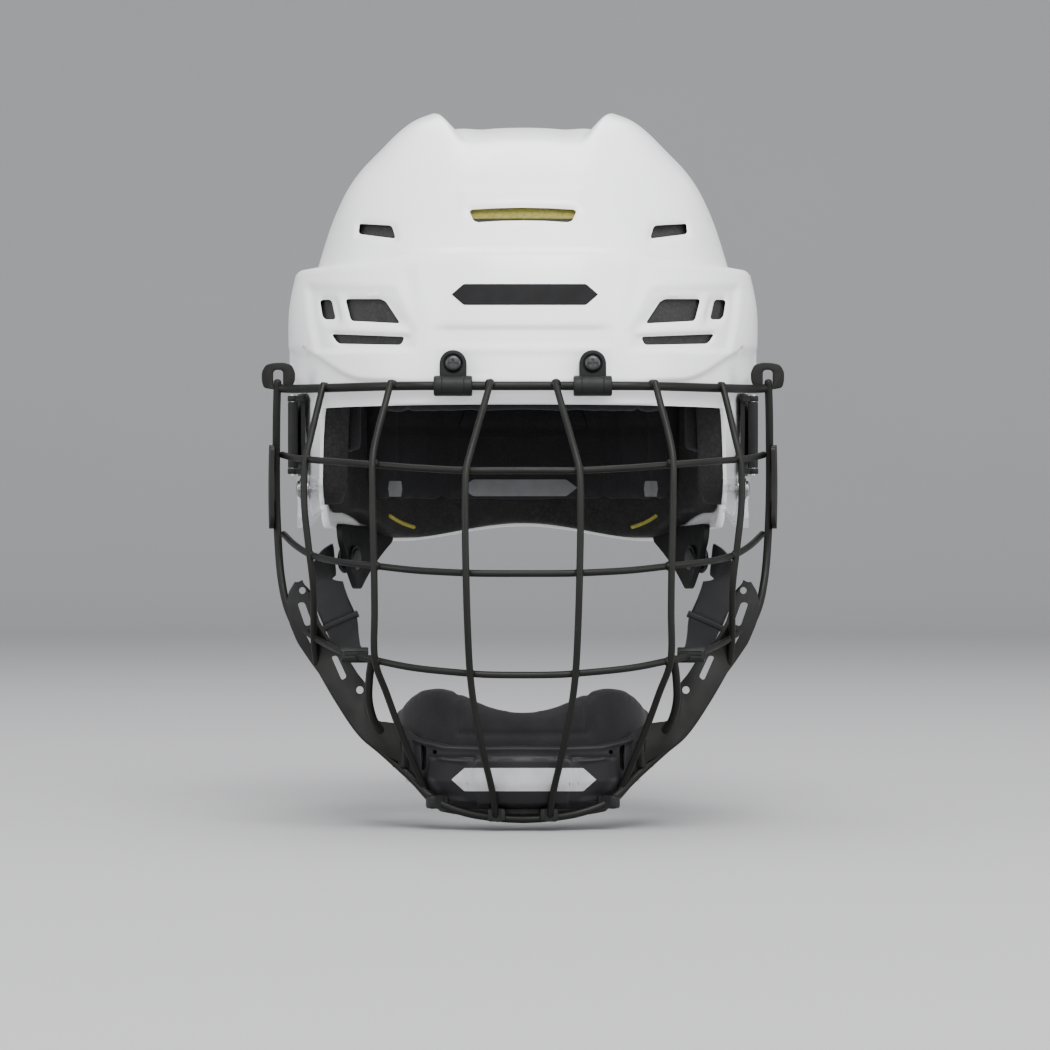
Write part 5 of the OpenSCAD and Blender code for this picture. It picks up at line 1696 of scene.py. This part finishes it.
def ribbon(name, path, w, t, ref_a, ref_b, across=9, turn=(0.0, 0.9), scallop=True):
    """A webbing strip with thickness, thickened selvedges and UVs in metres."""
    l = len(path)
    tg = unit(np.gradient(path, axis=0))
    d = np.concatenate([[0], np.cumsum(np.linalg.norm(np.diff(path, axis=0), axis=1))])
    V, UV = [], []
    wid = np.broadcast_to(w, (l,))
    for i in range(l):
        u = float(sm(turn[0], turn[1], i / (l - 1)))
        ref = arr(*ref_a) * (1 - u) + arr(*ref_b) * u
        n = unit(np.cross(ref, tg[i]))
        b = np.cross(tg[i], n)
        ring = []
        w = float(wid[i])
        for side_, sg in ((1, 1), (-1, -1)):
            for k in range(across):
                x = (k / (across - 1) - 0.5) * w * side_
                e = abs(x) / (w / 2)
                th_ = t / 2 * (1 + 0.14 * math.exp(-((e - 0.9) / 0.07) ** 2)) * (1 - 0.35 * max(0, e - 0.95) / 0.05)
                ring.append((x, th_ * sg))
        for x, h in ring:
            V.append(path[i] + n * x + b * h)
            UV.append((x * 0.001, d[i] * 0.001))
    sN = 2 * across
    F = []
    for i in range(l - 1):
        for k in range(sN):
            k2 = (k + 1) % sN
            F.append([i * sN + k, i * sN + k2, (i + 1) * sN + k2, (i + 1) * sN + k])
    F += [[k for k in range(sN)][::-1], [(l - 1) * sN + k for k in range(sN)]]
    me = bpy.data.meshes.new(name)
    me.from_pydata((np.array(V) * 0.001).tolist(), [], F)
    uv = me.uv_layers.new(name="UVMap")
    for poly in me.polygons:
        for li in poly.loop_indices:
            uv.data[li].uv = UV[me.loops[li].vertex_index]
    ob = bpy.data.objects.new(name, me)
    bpy.context.scene.collection.objects.link(ob)
    fix_normals(ob)
    shade(ob, True, 50)
    return ob


def join_uv(name, obs):
    """Joins meshes and keeps their UVs."""
    bm = bmesh.new()
    for o in obs:
        bm.from_mesh(o.data)
    me = bpy.data.meshes.new(name)
    bm.to_mesh(me)
    bm.free()
    ob = bpy.data.objects.new(name, me)
    bpy.context.scene.collection.objects.link(ob)
    for o in obs:
        drop(o)
    shade(ob, True, 50)
    return ob


for name, s in LR:
    flip = lambda p: np.array(p, float) * arr(s, 1, 1)
    # rear part: snap end, round to the bar, with the end folded back and sewn
    path = resample(relax(hermite_path(STRAP, 14), 3), 1.6)
    tail = [path[-1]]
    body = ribbon("k", path * arr(s, 1, 1), 15, 1.5, arr(-0.94 * s, -0.34, 0), FLAT * arr(s, 1, 1), turn=(-0.06, 0.62))
    # loop round the bar
    tdir = unit(path[-1] - path[-4])
    up = unit(np.cross(BARD, tdir))
    lp = [path[-6] + up * 0.2, path[-1] + up * 0.6]
    for a in np.linspace(90, -90, 13):
        lp.append(BAR + tdir * (2.2 * math.cos(math.radians(a))) + up * (2.2 * math.sin(math.radians(a))))
    back = path[-1] - up * 1.9
    lp += [back, path[-8] - up * 1.6, path[-16] - up * 1.6]
    lp = resample(relax(np.array(lp), 1), 0.9)
    loop = ribbon("k", lp * arr(s, 1, 1), 13.2, 1.25, np.cross(BARD, arr(0, 0, 1)) * 0 + FLAT * arr(s, 1, 1), FLAT * arr(s, 1, 1), across=7)
    sb = join_uv("side_strap_webbing_" + name, [body, loop])
    finish_piece(sb, "web", "strap_" + name, ["side_strap_" + name])
    # lead on the cage, with the bar and its two cheeks
    path = resample(relax(hermite_path(LEAD, 14), 3), 1.6)
    lead = ribbon("side_lead_webbing_" + name, path * arr(s, 1, 1), np.interp(np.linspace(0, 1, len(path)), [0, 0.25, 0.75, 1], [14.6, 13.5, 9.2, 8.8]), 1.5, FLAT * arr(s, 1, 1), FLAT * arr(s, 1, 1))
    finish_piece(lead, "web", "cage", ["strap_lead_" + name])
    parts = [put("k", *lathe_data([(0.001, -8.6), (1.1, -8.6), (1.1, 8.6), (0.001, 8.6)], 24, BARD * arr(s, 1, 1), BAR * arr(s, 1, 1)))]
    up = unit(np.cross(BARD, arr(0, 1, 0)))
    for h in (-8.5, 7.1):
        prof_ = round_poly([(-7.2, -1.1), (-1.5, -1.6), (1.7, -1.4), (1.7, 1.4), (-1.5, 1.6), (-7.2, 1.1)], 0.9, 4)
        v, f = extrude_data(prof_, h, h + 1.4, lambda x, y, hh: (BAR + arr(0, 1, 0) * x + up * y + BARD * hh) * arr(s, 1, 1))
        parts.append(put("k", v, f, False))
    v, f = extrude_data(round_poly([(-8.0, -1.2), (-6.0, -1.3), (-6.0, 1.3), (-8.0, 1.2)], 0.6, 3), -8.5, 8.5, lambda x, y, hh: (BAR + arr(0, 1, 0) * x + up * y + BARD * hh) * arr(s, 1, 1))
    parts.append(put("k", v, f, False))
    br = join("strap_bar_frame_" + name, parts)
    shade(br, True, 35)
    finish_piece(br, "black", "cage", ())
    # hook on the wire
    R = rot_z(math.radians(-6 * s))
    c0 = arr(70.5 * s, -137.8, -108.5)
    hkp = round_poly([(-3.5, -2.0), (-2.2, -3.2), (7.4, -3.1), (8.5, -2.4), (8.5, 2.4), (7.4, 3.1), (-2.2, 3.2), (-3.5, 2.0)], 1.0, 4)
    v, f = extrude_data(hkp, -5.6, 5.6, lambda y, z, h: c0 + R @ arr(h, y, z))
    hk = put("strap_hook_moulded_" + name, v, f, False)
    v, f = box_data(c0 + R @ arr(0, 8.0, 0), (9.6, 8.0, 2.6), R)
    boolean(hk, put("c", v, f, False))
    for g in (-1.5, 0, 1.5):
        v, f = box_data(c0 + R @ arr(0, -3.6, g), (8.6, 0.9, 0.6), R)
        boolean(hk, put("c", v, f, False))
    for g in (-5.6, 5.6):
        v, f = box_data(c0 + R @ arr(g, 2.0, 0), (0.9, 6.0, 3.4), R)
        boolean(hk, put("c", v, f, False))
    bevel(hk, 0.35, 2, 40)
    shade(hk, True, 35)
    finish_piece(hk, "black", "cage", ["strap_hook_" + name])
    # snap cap
    ax = tab_pt(0, 0, 1, s) - tab_pt(0, 0, 0, s)
    sn = put("strap_snap_cap_" + name, *lathe_data([(4.6, 0.0), (6.3, 0.0), (6.5, 0.4), (6.4, 1.1), (5.6, 1.9), (4.2, 2.3), (3.4, 2.25), (3.0, 1.95), (1.2, 1.85), (0.001, 1.85), (0.001, 1.2), (4.3, 1.2)], 48, ax, tab_pt(-2, 70, 97.8, s), close=False))
    shade(sn, True, 40)
    finish_piece(sn, "dark_steel", "strap_" + name, ["strap_snap_" + name])

# ---------------------------------------------------------------- generic marks, in place of any lettering
def bvh(ob):
    dg = bpy.context.evaluated_depsgraph_get()
    return BVHTree.FromObject(ob, dg)


def mark(name, ob, x0, x1, y0, y1, chamfer, mat, body, proud=0.14, bend=0.0, nu=70, nv=9, far=False):
    """An elongated hexagon, laid on the surface that the camera sees between px x0..x1, y0..y1."""
    trees = [bvh(o) for o in (ob if isinstance(ob, tuple) else (ob,))]
    cam = arr(0, -CAM_D, CAM_Z)
    yc_, hh = (y0 + y1) / 2, (y1 - y0) / 2
    rows = []
    mid = unit(at_px((x0 + x1) / 2, yc_, -100.0) - cam)
    first = [h for h in (t.ray_cast(Vector((cam + mid * 1500) * 0.001), Vector(mid)) for t in trees) if h[0] is not None]
    last = min(h[3] for h in first) if first else None
    for j in range(nv):
        row = []
        for i in range(nu):
            u = i / (nu - 1)
            x = x0 + (x1 - x0) * u
            k = min(1.0, min(x - x0, x1 - x) / chamfer + 0.02)
            y = yc_ + hh * k * (2 * j / (nv - 1) - 1) + bend * (2 * u - 1) ** 2
            q = at_px(x, y, -100.0)
            d = unit(q - cam)
            org = cam + d * 1500
            found = [h for h in (t.ray_cast(Vector(org * 0.001), Vector(d)) for t in trees) if h[0] is not None]
            if found:
                hit, nrm, _, far_ = min(found, key=lambda h: h[3])
                last = far_
            elif last is not None:
                # a ray that slips past an edge takes the nearest place on the surface instead
                near = [t.find_nearest(Vector(org * 0.001) + Vector(d) * last) for t in trees]
                hit, nrm, _, _ = min(near, key=lambda h: h[3])
            else:
                raise RuntimeError(name + " misses its surface")
            nrm = np.array(nrm[:])
            if nrm @ d > 0:
                nrm = -nrm
            row.append((np.array(hit[:]) * 1000, nrm))
        rows.append(row)
    H = np.array([[r[0] for r in row] for row in rows])
    Nn = np.array([[r[1] for r in row] for row in rows])
    for _ in range(2):
        Nn[:, 1:-1] = unit(Nn[:, :-2] + Nn[:, 1:-1] * 2 + Nn[:, 2:])
    O, I = H + Nn * proud, H - Nn * 0.12
    m = nu * nv
    v = np.concatenate([O.reshape(-1, 3), I.reshape(-1, 3)])
    f = grid_faces(nu, nv, 0) + grid_faces(nu, nv, m, False, True)
    for j in range(nu - 1):
        f += [[j + 1, j, m + j, m + j + 1], [(nv - 1) * nu + j, (nv - 1) * nu + j + 1, m + (nv - 1) * nu + j + 1, m + (nv - 1) * nu + j]]
    for j in range(nv - 1):
        f += [[j * nu, j * nu + nu, m + j * nu + nu, m + j * nu], [j * nu + 2 * nu - 1, j * nu + nu - 1, m + j * nu + nu - 1, m + j * nu + 2 * nu - 1]]
    o = put(name, v, f)
    shade(o, True, 40)
    finish_piece(o, mat, body)
    return o


mark("forehead_mark", front, 452, 598, 284, 305, 12, "mark_black", "helmet")
mark("chin_mark", cup, 452, 596, 768, 791, 13, "mark_pale", "cage")
mark("nape_mark", (op, rl), 462, 577, 479.5, 496, 11, "mark_grey", "rear", nu=60)
for name, s in LR:
    x = lambda p: PX0 + s * (p - PX0) * -1
    a, b = sorted((x(388), x(402)))
    mark("pad_patch_" + name, (op, rl), a, b, 481, 496.5, 1.0, "mark_grey", "rear", nu=16, nv=11)
    a, b = sorted((x(459), x(512)))
    mark("pad_panel_" + name, (op, rl), a, b, 411, 438, 5.0, "pad", "rear", proud=0.9, nu=40, nv=15)

# ---------------------------------------------------------------- finishes of the CAD nodes that stay
for n, mat in (("temple_insert_left", "shell"), ("temple_insert_right", "shell"), ("lock_pins", "steel"), ("j_clip_nuts", "steel")):
    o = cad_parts[n]
    o.data.materials.clear()
    o.data.materials.append(M[mat])

# ---------------------------------------------------------------- camera, floor and light
cam = bpy.data.objects.new("camera", bpy.data.cameras.new("camera"))
bpy.context.scene.collection.objects.link(cam)
cam.location = (0.0009, -2.0, -0.054)
cam.rotation_euler = (math.radians(90), 0, 0)
cam.data.sensor_width = 36.0
cam.data.lens = 152.4
cam.data.clip_end = 50
bpy.context.scene.camera = cam


def studio_floor():
    """A pale floor that curves up into the wall behind."""
    zf, y0, y1, r, top = -0.1825, -5.5, 3.2, 1.6, 6.0
    prof_ = [(y0, zf)] + [(y1 + r * math.sin(t), zf + r - r * math.cos(t)) for t in np.linspace(0, math.pi / 2, 24)] + [(y1 + r, top)]
    v, f = [], []
    for x in (-6.5, 6.5):
        v += [(x, y, z) for y, z in prof_]
    n = len(prof_)
    f = [[i, i + 1, n + i + 1, n + i] for i in range(n - 1)]
    me = bpy.data.meshes.new("studio_floor")
    me.from_pydata(v, [], f)
    me.update()
    o = bpy.data.objects.new("studio_floor", me)
    bpy.context.scene.collection.objects.link(o)
    shade(o, True)
    m = Mat("studio_paper")
    m.set(rough=0.7, spec=0.2)
    m.link(m.mix(m.noise(3.0, 3), (0.335, 0.335, 0.339), (0.35, 0.35, 0.354)), "Base Color")
    me.materials.append(m.m)


studio_floor()


def area(name, loc, target, size, power, color=(1, 1, 1), size_y=None):
    d = bpy.data.lights.new(name, "AREA")
    d.shape = "RECTANGLE" if size_y else "SQUARE"
    d.size = size
    if size_y:
        d.size_y = size_y
    d.energy = power
    d.color = color
    o = bpy.data.objects.new(name, d)
    bpy.context.scene.collection.objects.link(o)
    o.location = loc
    o.rotation_euler = (Vector(target) - Vector(loc)).to_track_quat("-Z", "Y").to_euler()
    return o


area("key", (0.25, -1.5, 1.9), (0, 0, 0), 1.6, 92)
area("left_fill", (-1.7, -1.1, 0.5), (0, 0, -0.03), 1.2, 20)
area("right_fill", (1.7, -1.0, 0.4), (0, 0, -0.03), 1.2, 18)
area("front_fill", (0.1, -2.5, 0.12), (0, 0, -0.05), 1.1, 15)
area("top_back", (0.0, 0.9, 1.7), (0, 0, 0.05), 1.2, 22)
w = bpy.data.worlds.new("studio_world")
bpy.context.scene.world = w
w.use_nodes = True
w.node_tree.nodes["Background"].inputs[0].default_value = (0.95, 0.96, 1.0, 1)
w.node_tree.nodes["Background"].inputs[1].default_value = 1.06
